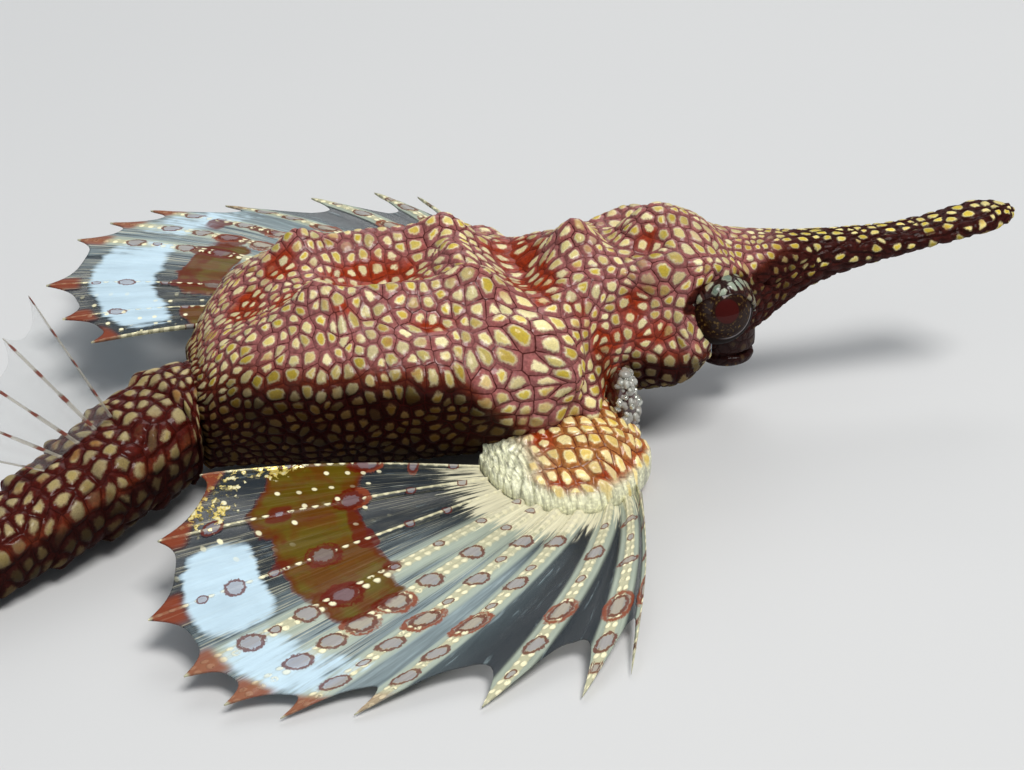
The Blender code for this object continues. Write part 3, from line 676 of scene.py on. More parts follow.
@dataclass(frozen=True)
class CellFinish:
    """Skin of raised cells: a rounded pale spot with a yellow heart in each, on a coloured ground.

    The layer named paint holds four masks: red pits, painted shade on undersides and in hollows,
    a place of another ground where most cells are bare, and pale cells that are partly painted highlights.
    """

    name: str
    ground: Colour
    pit: Colour
    # Colour of the painted shade on undersides and in hollows.
    under: Colour
    line: Colour
    cream: Colour
    heart: Colour
    aside: Colour = (0.040, 0.007, 0.005)
    # Colour that the spots turn to in the painted shade.
    shaded_spot: Colour = (0.12, 0.052, 0.009)
    rust: Colour = (0.42, 0.22, 0.04)
    # A painted reflection, bluish, laid where the pale mask runs well over 1.
    painted_gleam: Colour = (0.62, 0.72, 0.80)
    # Half tone at the edge of the painted shade, between the ground and the shade's colour.
    brown: Colour = (0.13, 0.022, 0.008)
    inset: float = 0.07
    inset_spread: float = 0.12
    softness: float = 0.15
    bare: float = 0.1
    aside_bare: float = 0.6
    line_width: float = 0.05
    roughness: float = 0.36
    coat: float = 0.3
    matting: float = 0.9
    shine: float = 0.05
    pattern: CellPattern = field(default_factory=CellPattern)

    def make(self) -> Material:
        """Build the material.

        Returns:
            The finished material.
        """
        dress = Dress(self.name)
        body, places = dress.body(), dress.places()
        edge, away, (chance, other, third) = dress.cells(places, self.pattern)
        pit, under, aside, pale = dress.layer("paint")
        cloud = dress.noise(body, 600.0)
        grain = dress.noise(body, 5000.0, 3.0)
        speck = dress.noise(body, 14000.0, 2.0)
        ragged = dress.noise(body, 3400.0, 1.0).swing(0.36) + speck.swing(0.18)
        rounded = edge - dress.math("MAXIMUM", away - 0.18, 0.0) * 0.9 + ragged
        deep = (pit + cloud.swing(0.7)).rise(0.15, 0.75)
        strand = dress.noise(dress.stretched(places, (1.1, 3.4, 1.0)), 1.0, 3.0)
        ground = dress.coats(
            self.ground,
            (self.pit, (deep + cloud.swing(0.9)).kept()),
            # Painted shade: the ground turns brown, then near black, where the under mask rises.
            (dress.mix(self.brown, self.under, under.rise(0.35, 0.9)), under.rise(0.0, 0.5)),
            (dress.shaded(self.aside, 0.5 + strand.rise(0.3, 0.6) * 0.65), aside),
        )
        # The ground is lighter toward each cell's middle and darker toward its border: painted light and
        # shade over the relief, with random tone from the noise.
        ground = dress.shaded(ground, 0.5 + cloud * 0.5 + edge * 0.6 + grain.rise(0.4, 0.7) * 0.3)
        start = self.inset + chance * self.inset_spread + deep * 0.12 + aside * 0.13 - pale.kept() * 0.06
        spot = rounded.rise(start - self.softness * 0.5, start + self.softness)
        shown = (third + pale * 0.6 - deep * 0.06 - aside * self.aside_bare).rise(self.bare, self.bare + 0.1)
        heart = (rounded + speck.swing(0.14)).rise(start + 0.08, start + 0.3)
        heart = heart * (0.15 + other * 1.1).kept() * (1.0 - deep * 0.7)
        rusty = cloud.rise(0.5, 0.66) * third.rise(0.4, 0.6) * 0.7 * (1.0 - pale.kept())
        tint = dress.coats(self.cream, (self.heart, (heart + aside * 0.35).kept()), (self.rust, rusty.kept()))
        # Pale cells are brightened here; on the body that is partly a painted highlight.
        tint = dress.shaded(tint, 0.7 + chance * 0.5 + speck.swing(0.7) + pale.kept() * 0.35)
        # Painted shade: the spots fade to a dim ochre where the under mask rises.
        tint = dress.mix(tint, dress.shaded(self.shaded_spot, 0.25 + chance * 0.85), under * 0.95)
        line = (edge + ragged * 0.15).fall(self.line_width * 0.4, self.line_width)
        line = line * (1.0 - deep * 0.4) * (1.0 - aside) * (0.4 + cloud.rise(0.36, 0.56) * 0.6)
        colour = dress.coats(ground, (tint, spot * shown * (0.97 - third * 0.2)), (self.line, line * 0.9))
        # Where the pale mask runs well over 1, a painted gleam, a bluish reflection, is laid on top.
        colour = dress.mix(dress.shaded(colour, 0.82 + grain * 0.36), self.painted_gleam, (pale - 1.1).rise(0.1, 0.6))
        dress.bump(edge.rise(0.0, 0.2) * 0.7 + spot * shown * 0.3 + grain * 0.5 + speck * 0.25, 0.00008)
        matt = (under + aside * 0.8 + line).kept() * self.matting
        rough = self.roughness + deep * 0.06 + grain * 0.2 - spot * 0.1 + matt * 0.25
        return dress.wear(
            Base_Color=colour, Roughness=rough, Coat_Weight=(1.0 - matt) * self.coat, Coat_Roughness=0.12,
            Specular_IOR_Level=self.shine,
        )


@dataclass(frozen=True)
class Hump:
    """A bell-shaped push of the skin, in millimetres, alike on both sides."""

    centre: Triple
    rise: float
    spread: Triple
    push: Pair


EYE_CENTRE = np.array([32.2, 4.3, 8.8]) * MM
EYE_RADIUS = 2.35 * MM
TAIL_ROOT = np.array([0.0, -2.0, 4.8]) * MM
UPWARD = (0.0, 1.0)
SIDEWAYS = (1.0, 0.2)
OUTWARD = (1.0, 0.0)


@dataclass(frozen=True)
class BodyForm:
    """The form of carapace, head and snout, as sections by station."""

    half_width: Profile = Profile(
        {0: 5.0, 0.6: 5.8, 1.5: 6.8, 3: 8.2, 6: 9.6, 11: 10.2, 16: 10.4, 20: 9.9, 21.5: 8.5, 22.5: 7.2,
         23.5: 6.3, 24.6: 5.9, 26: 5.5, 27.5: 5.4, 29.5: 5.6, 31: 5.4, 33: 4.6, 35: 3.4, 37.5: 2.35, 41: 1.7,
         45: 1.55, 49: 1.65, 52: 1.85, 53.6: 1.4, 54.4: 0.6}
    )
    widest: Profile = Profile(
        {0: 6.0, 3: 8.0, 8: 8.6, 13: 8.4, 17: 7.0, 21: 5.4, 24: 6.0, 26: 7.5, 29: 7.5, 33: 8.3, 37.5: 9.6,
         41: 10.1, 46: 10.4, 52: 11.2, 54.4: 11.6}
    )
    back: Profile = Profile(
        {0: 7.9, 0.6: 8.7, 2: 9.9, 5: 11.4, 8: 12.0, 13: 12.1, 17: 12.0, 20.5: 11.3, 23: 12.4, 26: 12.8,
         29.5: 13.8, 32: 13.3, 34: 12.1, 36: 11.75, 37.5: 11.6, 41: 11.3, 46: 11.15, 50: 11.6, 53: 12.1,
         54.4: 11.9}
    )
    belly: Profile = Profile(
        {0: 1.6, 4: 1.75, 12: 1.8, 20: 1.9, 23.5: 2.1, 26: 2.9, 29: 3.4, 31.5: 4.2, 33: 4.9, 35: 5.2,
         36.5: 5.8, 38: 6.8, 40: 7.95, 43: 8.85, 47: 9.65, 51: 10.5, 54.4: 11.3}
    )
    belly_half_width: Profile = Profile(
        {0: 2.8, 4: 4.5, 12: 6.0, 18: 6.0, 22: 4.8, 25: 3.0, 30: 2.4, 34: 1.4, 37.5: 0.8, 41: 0.5, 54.4: 0.3}
    )
    squareness: Profile = Profile({0: 1.25, 22: 1.2, 27: 1.0, 37.5: 1.0, 54.4: 0.9}, 1.0)
    humps: tuple[Hump, ...] = (
        Hump((11.0, 4.3, 12.0), 0.9, (7.5, 1.3, 4.0), UPWARD),
        Hump((6.9, 4.0, 12.0), 1.0, (1.3, 1.3, 4.0), UPWARD),
        Hump((8.3, 5.8, 11.4), 0.6, (0.9, 0.9, 3.0), (0.3, 1.0)),
        Hump((16.6, 4.2, 12.0), 1.0, (1.6, 1.5, 4.0), UPWARD),
        Hump((16.3, 0.0, 12.0), 1.0, (1.2, 3.0, 4.0), UPWARD),
        Hump((11.2, 0.0, 12.0), -1.5, (3.2, 2.3, 4.0), UPWARD),
        Hump((20.3, 0.0, 11.3), -0.9, (1.6, 3.2, 4.0), UPWARD),
        Hump((3.5, 0.0, 11.0), -0.6, (1.6, 2.2, 3.0), UPWARD),
        Hump((24.0, 0.0, 12.8), 1.4, (1.2, 1.4, 4.0), UPWARD),
        Hump((9.6, 5.8, 11.2), -0.5, (0.9, 0.9, 2.0), (0.2, 1.0)),
        Hump((13.4, 6.6, 10.8), -0.6, (1.6, 1.1, 2.0), (0.3, 1.0)),
        Hump((3.3, 8.0, 8.4), 0.5, (0.9, 2.0, 1.3), SIDEWAYS),
        Hump((6.2, 9.6, 8.6), 0.55, (1.0, 2.0, 1.3), SIDEWAYS),
        Hump((9.5, 10.0, 8.6), 0.5, (1.0, 2.0, 1.3), SIDEWAYS),
        Hump((12.6, 10.3, 8.4), 0.55, (1.0, 2.0, 1.3), SIDEWAYS),
        Hump((15.6, 10.4, 7.6), 0.6, (1.0, 2.0, 1.3), SIDEWAYS),
        Hump((18.6, 7.6, 10.5), 0.8, (1.2, 1.3, 1.8), (0.5, 0.8)),
        Hump((20.3, 7.5, 10.0), 1.0, (1.0, 1.6, 1.4), (0.6, 0.7)),
        Hump((21.6, 8.0, 7.8), 1.6, (1.1, 2.5, 1.8), (1.0, 0.1)),
        Hump((23.2, 7.0, 4.6), 2.6, (1.2, 2.5, 2.0), OUTWARD),
        Hump((29.6, 0.0, 14.0), 0.6, (1.9, 1.3, 4.0), UPWARD),
        Hump((26.5, 0.0, 13.0), -0.8, (0.9, 2.0, 4.0), UPWARD),
        Hump((27.8, 4.3, 11.8), 0.8, (3.0, 0.8, 1.4), (0.5, 0.8)),
        Hump((32.2, 4.0, 11.2), 0.7, (1.9, 1.0, 0.9), (0.7, 0.7)),
        Hump((28.2, 2.2, 13.0), -1.1, (1.3, 0.9, 3.0), UPWARD),
        Hump((26.8, 5.3, 9.8), -0.6, (1.3, 1.3, 1.1), OUTWARD),
        Hump((29.4, 5.0, 5.3), 0.8, (1.7, 2.0, 1.6), (0.9, -0.3)),
        Hump((32.7, 4.2, 5.5), -1.5, (0.9, 1.6, 1.7), (0.9, -0.2)),
        Hump((35.0, 3.3, 9.9), -0.5, (0.3, 1.2, 0.3), OUTWARD),
        Hump((36.2, 2.8, 9.3), -0.45, (0.28, 1.2, 0.28), OUTWARD),
    )
    rim_radius: float = 2.75 * MM
    rim_rise: float = 0.38 * MM
    rim_width: float = 0.42 * MM
    cheek_centre: Pair = (28.6 * MM, 6.5 * MM)
    cheek_radius: float = 3.15 * MM
    cheek_step: float = 0.32 * MM
    tooth_pitch: float = 1.41 * MM
    tooth_share: float = 0.09
    rear_lean: float = -1.2 * MM
    lean_length: float = 4.0 * MM
    flat_share: float = 0.2
    back_power: float = 0.87

    def off_cheek(self, x: Array, z: Array) -> Array:
        """How far outside the round cheek plate a point lies, seen from the side."""
        return np.hypot(x - self.cheek_centre[0], z - self.cheek_centre[1]) - self.cheek_radius

    def half_sections(self, stations: Array, half: Array) -> Array:
        """Left halves of sections, from half 1 at the middle of the back to 0 under the belly.

        A half runs over the flat belly, up a quarter of a rounded curve, cos^p and sin^p, to the
        widest line, and up another to the back; bells then push it out or in.

        Args:
            stations: Where the sections stand, in metres.
            half: Places round each half section.

        Returns:
            Stations by places by 3.
        """
        curves = (self.half_width, self.widest, self.back, self.belly, self.belly_half_width, self.squareness)
        wide, widest, back, belly, belly_wide, square = (curve(stations / MM)[:, None] for curve in curves)
        lower = np.radians(90.0) * (1.0 - bounded((half - self.flat_share) / 0.3))
        upper = np.radians(90.0) * bounded((half - 0.5) / 0.5)
        low, flat = half < 0.5, half < self.flat_share
        below = belly_wide + (wide - belly_wide) * np.cos(lower) ** square
        y = np.where(low, below, wide * np.cos(upper) ** self.back_power)
        y = np.where(flat, belly_wide * half / self.flat_share, y)
        above = widest + (back - widest) * np.sin(upper) ** self.back_power
        z = np.where(low, widest - (widest - belly) * np.sin(lower) ** square, above)
        z = np.where(flat, belly, z)
        x = np.broadcast_to(stations[:, None], y.shape)
        point = np.stack([x, y, z], -1)
        push = np.zeros_like(point)
        for hump in self.humps:
            bell = hump.rise * MM * blob(point, hump.centre, hump.spread)
            push[..., 1:] += bell[..., None] * np.array(hump.push)
        away = np.hypot(x - EYE_CENTRE[0], z - EYE_CENTRE[2]) - self.rim_radius
        outward = bounded(y / EYE_CENTRE[1]) ** 2
        push[..., 1] += self.rim_rise * hill(away, 0.0, self.rim_width) * outward
        low_front = ramp(z, 10.0, 8.0) * ramp(x, 25.5, 28.0)
        push[..., 1] += self.cheek_step * ramp(self.off_cheek(x, z), 0.22, -0.12) * low_front * outward
        teeth = bounded(np.cos(2 * np.pi * x / self.tooth_pitch)) ** 2
        edge = bounded(y / wide) ** 5
        push[..., 1] += self.tooth_share * wide * teeth * edge * ramp(x, 37.0, 39.0) * ramp(x, 54.2, 53.0)
        return point + push

    def lean(self, stations: Array) -> Array:
        """Sideways shift of the sections near the rear end, toward the tail's side."""
        return self.rear_lean * bounded(1.0 - stations / self.lean_length) ** 2


@dataclass
class BodySkin:
    """One skin over the carapace, the head and the snout, of raised cells in real relief."""

    shift: Array
    form: BodyForm = field(default_factory=BodyForm)
    pattern: CellPattern = field(default_factory=CellPattern)
    ends: tuple[float, ...] = (0.0, 24.6 * MM, 37.5 * MM, 54.4 * MM)
    counts: tuple[int, ...] = (148, 98, 76)
    half_sides: int = 140
    relief: float = 0.16 * MM
    sunk: float = 0.07 * MM
    wave: float = 0.22
    growth: float = 0.5
    pit_flatness: float = 0.5
    cell_size: Profile = Profile(
        {-5: 0.85, 0: 0.85, 6: 0.85, 12: 0.92, 19: 1.12, 22: 1.15, 25: 0.86, 29: 0.92, 33: 0.76, 37: 0.8,
         41: 0.95, 54: 0.95}
    )
    # How far below the widest line the painted shade of the underside begins, in mm, by station.
    shade_start: Profile = Profile({0: -2.6, 3: -2.1, 14: -1.7, 16.5: -0.4, 20: 1.6, 26: 2.0, 54: 2.0})
    rear_shares: tuple[float, ...] = (
        0.04, 0.2, 0.34, 0.45, 0.53, 0.6, 0.66, 0.72, 0.78, 0.84, 0.89, 0.935, 0.97
    )
    rear_bulge: float = -0.5 * MM
    rear_hollow: float = 0.7 * MM
    rear_length: float = 4.0 * MM
    tip_shares: tuple[float, ...] = (0.86, 0.62, 0.34, 0.06)
    large: Bells = (
        ((1.4, -4.8, 9.8), (1.2, 1.4, 1.4)), ((3.4, -7.6, 9.4), (1.2, 1.4, 1.4)),
        ((12.4, -8.0, 9.0), (1.6, 2.0, 1.6)), ((19.4, -7.4, 10.6), (2.0, 2.4, 1.8)),
        ((17.0, -9.0, 8.0), (1.6, 2.0, 1.8)), ((28.0, 3.4, 13.2), (2.4, 2.0, 1.4)),
        ((28.0, -3.4, 13.2), (2.4, 2.0, 1.4)),
    )
    pits: Bells = (
        ((11.5, 0.0, 11.2), (3.8, 2.6, 1.8)), ((5.6, 2.4, 12.0), (1.4, 1.3, 2.0)),
        ((20.6, 2.2, 11.2), (1.9, 3.0, 1.8)), ((22.4, 4.6, 9.6), (1.2, 1.2, 1.6)),
        ((24.2, 5.8, 7.8), (0.9, 1.4, 1.7)), ((8.2, 5.4, 11.4), (0.9, 0.8, 1.2)),
        ((13.6, 6.9, 10.4), (1.9, 0.8, 1.0)), ((28.2, 1.9, 13.3), (1.1, 0.8, 1.3)),
        ((26.6, 5.2, 9.8), (1.2, 1.4, 1.3)), ((25.0, 6.5, 5.4), (1.5, 2.4, 2.2)),
        ((3.2, 0.0, 10.6), (1.6, 2.0, 1.4)), ((29.4, 5.4, 6.6), (1.6, 1.0, 1.0)),
        ((25.2, 5.2, 8.0), (0.9, 1.6, 0.8)), ((18.4, 7.6, 5.0), (2.4, 2.4, 1.4)),
    )
    blushes: Bells = (((27.0, 5.6, 8.2), (2.4, 2.0, 2.0)), ((28.6, 5.6, 6.2), (2.2, 1.4, 1.6)))
    blush: float = 0.6
    usual_cell: float = 0.9 * MM
    # Hollows darkened with painted shade.
    shaded_hollows: Bells = (((23.7, -5.0, 6.4), (1.2, 2.4, 1.4)),)
    # Paler, brighter plates, partly painted highlights where the light falls.
    pale: Bells = (
        ((1.4, -4.8, 9.8), (1.6, 1.6, 1.4)), ((19.4, -7.4, 10.6), (2.4, 2.4, 1.8)),
        ((22.6, -8.4, 6.5), (1.2, 2.0, 2.4)), ((18.0, 2.0, 13.2), (1.5, 2.5, 1.0)),
    )

    def rings(self) -> tuple[Array, Array, Array]:
        """Sections along the body, equally spaced round each, closed at both ends.

        The rear end folds in over a soft rim to the root of the tail.

        Returns:
            Points, distances round from the back with the seam under the belly, and stations.
        """
        spans = zip(self.ends[:-1], self.ends[1:], self.counts)
        stations = np.concatenate([np.linspace(*span)[int(span[0] > 0) :] for span in spans])
        dense = self.form.half_sections(stations, np.linspace(1.0, 0.0, 1401))
        run = run_along(dense)
        wanted = np.linspace(0.0, 1.0, self.half_sides + 1) * run[:, -1:]
        half = np.stack([follow(*row) for row in zip(dense, run, wanted)])
        ring = np.concatenate([(half * Side.RIGHT.flip)[:, ::-1], half[:, 1:-1]], axis=1)
        ring[..., 1] += self.form.lean(stations)[:, None]
        around = np.concatenate([-wanted[:, ::-1], wanted[:, 1:]], axis=1)
        share, tip_share = np.array(self.rear_shares), np.array(self.tip_shares)
        rear = TAIL_ROOT + (ring[0] - TAIL_ROOT) * share[:, None, None]
        bulge = self.rear_bulge * np.sin(np.pi * bounded((share - 0.6) / 0.4))
        hollow = self.rear_hollow * bounded((0.6 - share) / 0.3)
        rear[..., 0] += (bulge + hollow)[:, None]
        tip_hub = ring[-1].mean(0)
        front = tip_hub + (ring[-1] - tip_hub) * tip_share[:, None, None]
        around = np.concatenate([around[0] * share[:, None], around, around[-1] * tip_share[:, None]])
        behind, ahead = -self.rear_length * (1 - share), np.full(len(tip_share), self.ends[-1])
        stations = np.concatenate([behind, stations, ahead])
        return np.concatenate([rear, ring, front]), around, stations

    def places(self, points: Array, around: Array, stations: Array) -> Array:
        """Where each point lies on the plane of cells.

        One axis starts as the distance along the body and the other as the distance round from
        the back. The map is then evened, so that no cell is drawn out, toward a cell size that
        rises and falls in a slow wave and is larger on some plates.

        Args:
            points: The rings.
            around: Distances round, with the seam given twice.
            stations: The rings' stations.

        Returns:
            Rings by sides + 1 by 2.
        """
        size = self.cell_size(stations / MM)
        gap = np.linalg.norm(np.diff(points, axis=0), axis=-1).mean(1)
        along = np.concatenate([[0.0], np.cumsum(gap / ((size[1:] + size[:-1]) / 2))])
        a = np.broadcast_to(along[:, None], around.shape)
        b = around / size[:, None]
        wave = np.sin(0.83 * b + 0.31 * a) * np.sin(0.97 * a + 0.4) + 0.6 * np.sin(1.31 * b - 0.9 * a + 1.1)
        large = self.growth * bells(closed(points), self.large)
        wanted = size[:, None] * (1.0 + self.wave * wave + large)
        return evened(np.stack([a, b], -1), closed(points), wanted)

    def paint(self, points: Array) -> Array:
        """Masks of red pits, painted shade, dark ground partly shade, and pale plates partly painted
        highlights.

        Args:
            points: The rings.

        Returns:
            Rings by sides by 4.
        """
        x, z, place = points[..., 0], points[..., 2], points[..., 0] / MM
        pit = greatest(bells(points, self.pits, True), self.blush * bells(points, self.blushes, True))
        # Painted shade below the flank's widest line.
        drop, shade_start = self.form.widest(place) - z, self.shade_start(place)
        under = ease(drop, shade_start - 0.6 * MM, shade_start + 2.4 * MM) * ramp(x, 43.0, 38.0)
        snout = ramp(x, 34.5, 40.0)
        outer = ramp(np.abs(points[..., 1]), 1.5, 2.6)
        plate = self.form.off_cheek(x, z)
        off_eye = np.hypot(x - EYE_CENTRE[0], z - EYE_CENTRE[2])
        # Round the eye, below it, on the face and at the chin: painted shade.
        socket = ramp(off_eye, 2.95, 2.7) * outer * ramp(plate, -0.2, 0.05) * ramp(z, 11.4, 10.4)
        jaw = ramp(plate, -0.15, 0.1) * ramp(x, 29.8, 30.6) * ramp(z, 8.4, 7.4)
        face = ramp(x, 33.8, 35.4) * ramp(drop, -2.1, -0.7)
        chin = ramp(z, 7.5, 5.6) * ramp(x, 23.0, 25.0) * ramp(plate, 0.1, -0.5)
        painted_head_shade = 0.9 * greatest(socket, jaw, face * ramp(x, 40.5, 37.5), chin)
        under = greatest(under, painted_head_shade, 0.7 * bells(points, self.shaded_hollows, True))
        rise = (z - self.form.belly(place)) / (self.form.back(place) - self.form.belly(place))
        spotted = snout * greatest(hill(rise, 0.98, 0.09), hill(rise, 0.6, 0.13), ramp(x, 51.5, 53.0))
        front = ramp(x, 29.4, 30.4) * outer * ramp(z, 8.9, 8.2)
        rim = ramp(plate, -1.1, -0.75) * ramp(plate, 0.06, -0.08) * front
        # A painted gleam, a reflection, along the edge of the cheek plate.
        painted_gleam = hill(plate, -0.05 * MM, 0.1 * MM) * front
        pale = np.where(painted_gleam > 0.3, 1.0 + painted_gleam, greatest(bells(points, self.pale), rim))
        # Dark ground: the snout's own dark pigment, and partly painted shade round the eye, below it and on
        # the face.
        dark = greatest(snout, face, socket, jaw)
        return np.stack([pit, bounded(under), dark, greatest(pale, spotted)], -1)

    def build(self, material: Material) -> Piece:
        """Make the skin.

        Args:
            material: What it wears.

        Returns:
            The piece.
        """
        points, around, stations = self.rings()
        places = self.places(points, around, stations)
        paint = self.paint(points)
        size = self.cell_size(stations / MM)[:, None]
        dome = self.pattern.dome(places[:, :-1]) * (1.0 - self.pit_flatness * paint[..., 0])
        dome = dome * (size / self.usual_cell)
        points = raised(points, self.relief * dome - self.sunk)
        piece = Patch.tube(points, places, paint=paint).to_object("body_skin", self.shift, material)
        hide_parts("trunk", "head", "rostrum")
        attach(piece, "root")
        return piece


@dataclass(frozen=True)
class TailForm:
    """The form of the ringed tail along its bent middle line."""

    length: float = 28.0 * MM
    ring_count: int = 8
    half_width: Profile = Profile({0: 3.1, 3: 3.4, 7: 3.3, 14: 2.7, 21: 1.9, 28: 1.2})
    half_height: Profile = Profile({0: 2.75, 3: 3.1, 7: 2.9, 14: 2.35, 21: 1.65, 28: 1.0})
    heading: Profile = Profile({0: 30, 4: 44, 10: 38, 18: 32, 28: 27}, 1.0)
    fall: Profile = Profile({0: 5, 10: 8, 20: 10, 28: 4}, 1.0)

    def frame_at(self, lengths: Array, square: Array | float = 1.0) -> tuple[Array, Array, Array]:
        """Middle points, backward and sideways directions at lengths along the tail.

        The middle line is the sum of short steps that follow the heading and the fall.

        Args:
            lengths: In metres.
            square: How much of the heading counts.

        Returns:
            Three arrays, each lengths by 3.
        """
        fine = np.linspace(0.0, self.length, 281)
        heading, fall = np.radians(self.heading(fine / MM)), np.radians(self.fall(fine / MM))
        step = np.stack([-np.cos(heading) * np.cos(fall), -np.sin(heading) * np.cos(fall), -np.sin(fall)], -1)
        run = np.cumsum((step[1:] + step[:-1]) / 2, axis=0) * (fine[1] - fine[0])
        centre = follow(TAIL_ROOT + np.concatenate([np.zeros((1, 3)), run]), fine, lengths)
        turned = np.interp(lengths, fine, heading) * square
        back = np.stack([-np.cos(turned), -np.sin(turned), 0 * turned], -1)
        return centre, back, np.stack([-np.sin(turned), np.cos(turned), 0 * turned], -1)


@dataclass
class TailSkin:
    """The skin of the tail's bony rings, each widening to a raised edge with corner spines."""

    shift: Array
    form: TailForm = field(default_factory=TailForm)
    pattern: CellPattern = field(default_factory=CellPattern)
    rows_per_ring: int = 30
    sides: int = 200
    cell_size: float = 1.12 * MM
    relief: float = 0.17 * MM
    sunk: float = 0.08 * MM
    ring_swell: Profile = Profile(
        {0: 0.94, 0.1: 0.96, 0.25: 0.99, 0.5: 1.01, 0.8: 1.035, 0.88: 1.03, 0.96: 0.96, 1: 0.94}, 1.0
    )
    corner_power: float = 0.75
    turn_in: float = 4.0 * MM
    shoulder: float = 0.32
    spine_swell: float = 0.05
    spine_reach: float = 0.22 * MM
    pale: Bells = (((-2.0, -1.2, 7.6), (2.2, 2.0, 1.4)),)

    def build(self, material: Material) -> Piece:
        """Make the skin.

        A ring's section is a rounded square, |cos|^p and |sin|^p, swollen along each bony
        ring, with its corners drawn out and back near the ring's rear edge.

        Args:
            material: What it wears.

        Returns:
            The piece.
        """
        form = self.form
        lengths = np.linspace(0.0, form.length, self.rows_per_ring * form.ring_count + 1)
        lengths = np.concatenate([[-0.6 * MM, -0.3 * MM], lengths])
        place = np.clip(lengths, 0.0, None) / MM
        phase = np.clip(lengths, 0.0, form.length * 0.99999) / (form.length / form.ring_count) % 1.0
        centre, back, across = form.frame_at(lengths, bounded(lengths / self.turn_in))
        centre[:, 0] += np.clip(-lengths, 0.0, None)
        angle = (np.arange(self.sides) + 0.5) / self.sides * 2 * np.pi - np.pi / 2
        turn = np.cos(angle), np.sin(angle)
        flat, tall = (np.sign(way) * np.abs(way) ** self.corner_power for way in turn)
        spine = hill(phase, 0.82, 0.1)[:, None] * np.abs(np.sin(2 * angle)) ** 14
        size = self.ring_swell(phase)[:, None] * (1.0 + self.spine_swell * spine)
        wide = form.half_width(place)[:, None] * size * flat
        points = centre[:, None] + wide[..., None] * across[:, None]
        points = points + (self.spine_reach * spine)[..., None] * back[:, None]
        points[..., 2] += form.half_height(place)[:, None] * size * tall
        around = run_along(closed(points))
        b = (around - around[:, -1:] / 2) / self.cell_size
        a = np.broadcast_to(lengths[:, None] / self.cell_size, b.shape)
        wavy = b + 0.25 * np.sin(0.6 * a + 1.7) + 0.15 * np.sin(0.9 * b)
        places = np.stack([a + 0.25 * np.sin(0.7 * b + 0.3 * a) + 3.3, wavy], -1)
        dome = self.pattern.dome(places[:, :-1], self.shoulder)
        points = raised(points, self.relief * dome - self.sunk)
        points[..., 2] = np.maximum(points[..., 2], 0.0)
        # The tail's lower part is painted dark: painted shade.
        low = ramp(centre[:, None, 2] - points[..., 2], -1.9, 0.0)
        groove = (ease(phase, 0.9, 0.97) + ease(phase, 0.06, 0.0))[:, None] + 0 * low
        pale = bounded(bells(points, self.pale) * 1.3)
        paint = np.stack([groove * 0.3, bounded(low), 0 * low, pale], -1)
        piece = Patch.tube(points, places, paint=paint).to_object("tail_skin", self.shift, material)
        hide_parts("tail_front", "tail_middle", "tail_rear")
        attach(piece, "root")
        return piece


@dataclass
class Eye:
    """One eye: a wet globe under a hood of patterned skin."""

    shift: Array
    side: Side
    look: Triple = (-0.04, 0.94, 0.34)
    hood_radius: float = 2.44 * MM
    hood_thick: float = 0.16 * MM
    hood_puff: float = 0.12 * MM
    hood_sunk: float = 0.06 * MM
    hood_cell: float = 0.78 * MM
    cornea: float = 0.028
    pattern: CellPattern = field(default_factory=CellPattern)

    def axes(self) -> Array:
        """The eye's own directions.

        Returns:
            Rows: forward, up and outward along the line of sight.
        """
        out = np.array(self.look) * self.side.flip
        out = out / np.linalg.norm(out)
        up = UP - out * (UP @ out)
        up = up / np.linalg.norm(up)
        return np.stack([np.cross(out, up) * self.side.value, up, out])

    def dome(self, off: Array, turn: Array, radius: Array) -> Array:
        """Points at an angle off the line of sight and a turn round it, in radians."""
        local = np.stack([np.sin(off) * np.cos(turn), np.sin(off) * np.sin(turn), np.cos(off)], -1)
        return EYE_CENTRE * self.side.flip + (radius[..., None] * local) @ self.axes()

    def globe(self, material: Material) -> Piece:
        """The globe, with its pole on the line of sight and a slight swell of the cornea.

        Args:
            material: What it wears.

        Returns:
            The piece.
        """
        rows, columns = np.linspace(0.02, np.pi - 0.02, 48), np.linspace(0, 2 * np.pi, 72, endpoint=False)
        off, turn = np.meshgrid(rows, columns, indexing="ij")
        radius = EYE_RADIUS * (1.0 - self.cornea + self.cornea * ease(off, 1.0, 0.45))
        wrap = np.concatenate([turn, turn[:, :1] + 2 * np.pi], axis=1) / (2 * np.pi)
        patch = Patch.tube(self.dome(off, turn, radius), np.stack([wrap, closed(off)], -1))
        piece = patch.to_object(f"eye_globe_{self.side.word}", self.shift, material)
        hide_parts(f"eye_{self.side.word}")
        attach(piece, "root")
        return piece

    def hood(self, material: Material) -> Piece:
        """The skin that covers the upper part of the globe down to a curved edge.

        The edge's angle off the line of sight is least over the pupil and grows to both sides.

        Args:
            material: What it wears.

        Returns:
            The piece.
        """
        share, turn = np.meshgrid(np.linspace(0.0, 1.0, 26), np.radians(np.linspace(-8.0, 188.0, 96)))
        lift = np.clip(np.sin(turn), -0.2, 1.0)
        first = np.radians(74.0 - 49.0 * bounded(lift) ** 0.55)
        off = first + (np.radians(120.0) - first) * share
        swing = (turn - np.pi / 2) * np.sin(off)
        arc = np.stack([off * self.hood_radius, swing * self.hood_radius], -1) / self.hood_cell + 7.0
        puff = self.hood_puff * self.pattern.dome(arc) - self.hood_sunk
        lip = np.sqrt(bounded(share / 0.08))
        top = self.dome(off, turn, self.hood_radius + puff * lip - self.hood_thick * 0.4 * (1 - lip))
        low = self.dome(off, turn, np.full_like(off, self.hood_radius - self.hood_thick))
        # Painted light: the hood's top is painted paler and its lower sides darker.
        paint = np.stack([0 * off, 0.5 * (1 - lift), 0 * off, 0.3 * lift], -1)
        patch = Patch.slab(top, low, arc, paint=paint)
        piece = patch.to_object(f"eye_hood_{self.side.word}", self.shift, material)
        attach(piece, "root")
        return piece


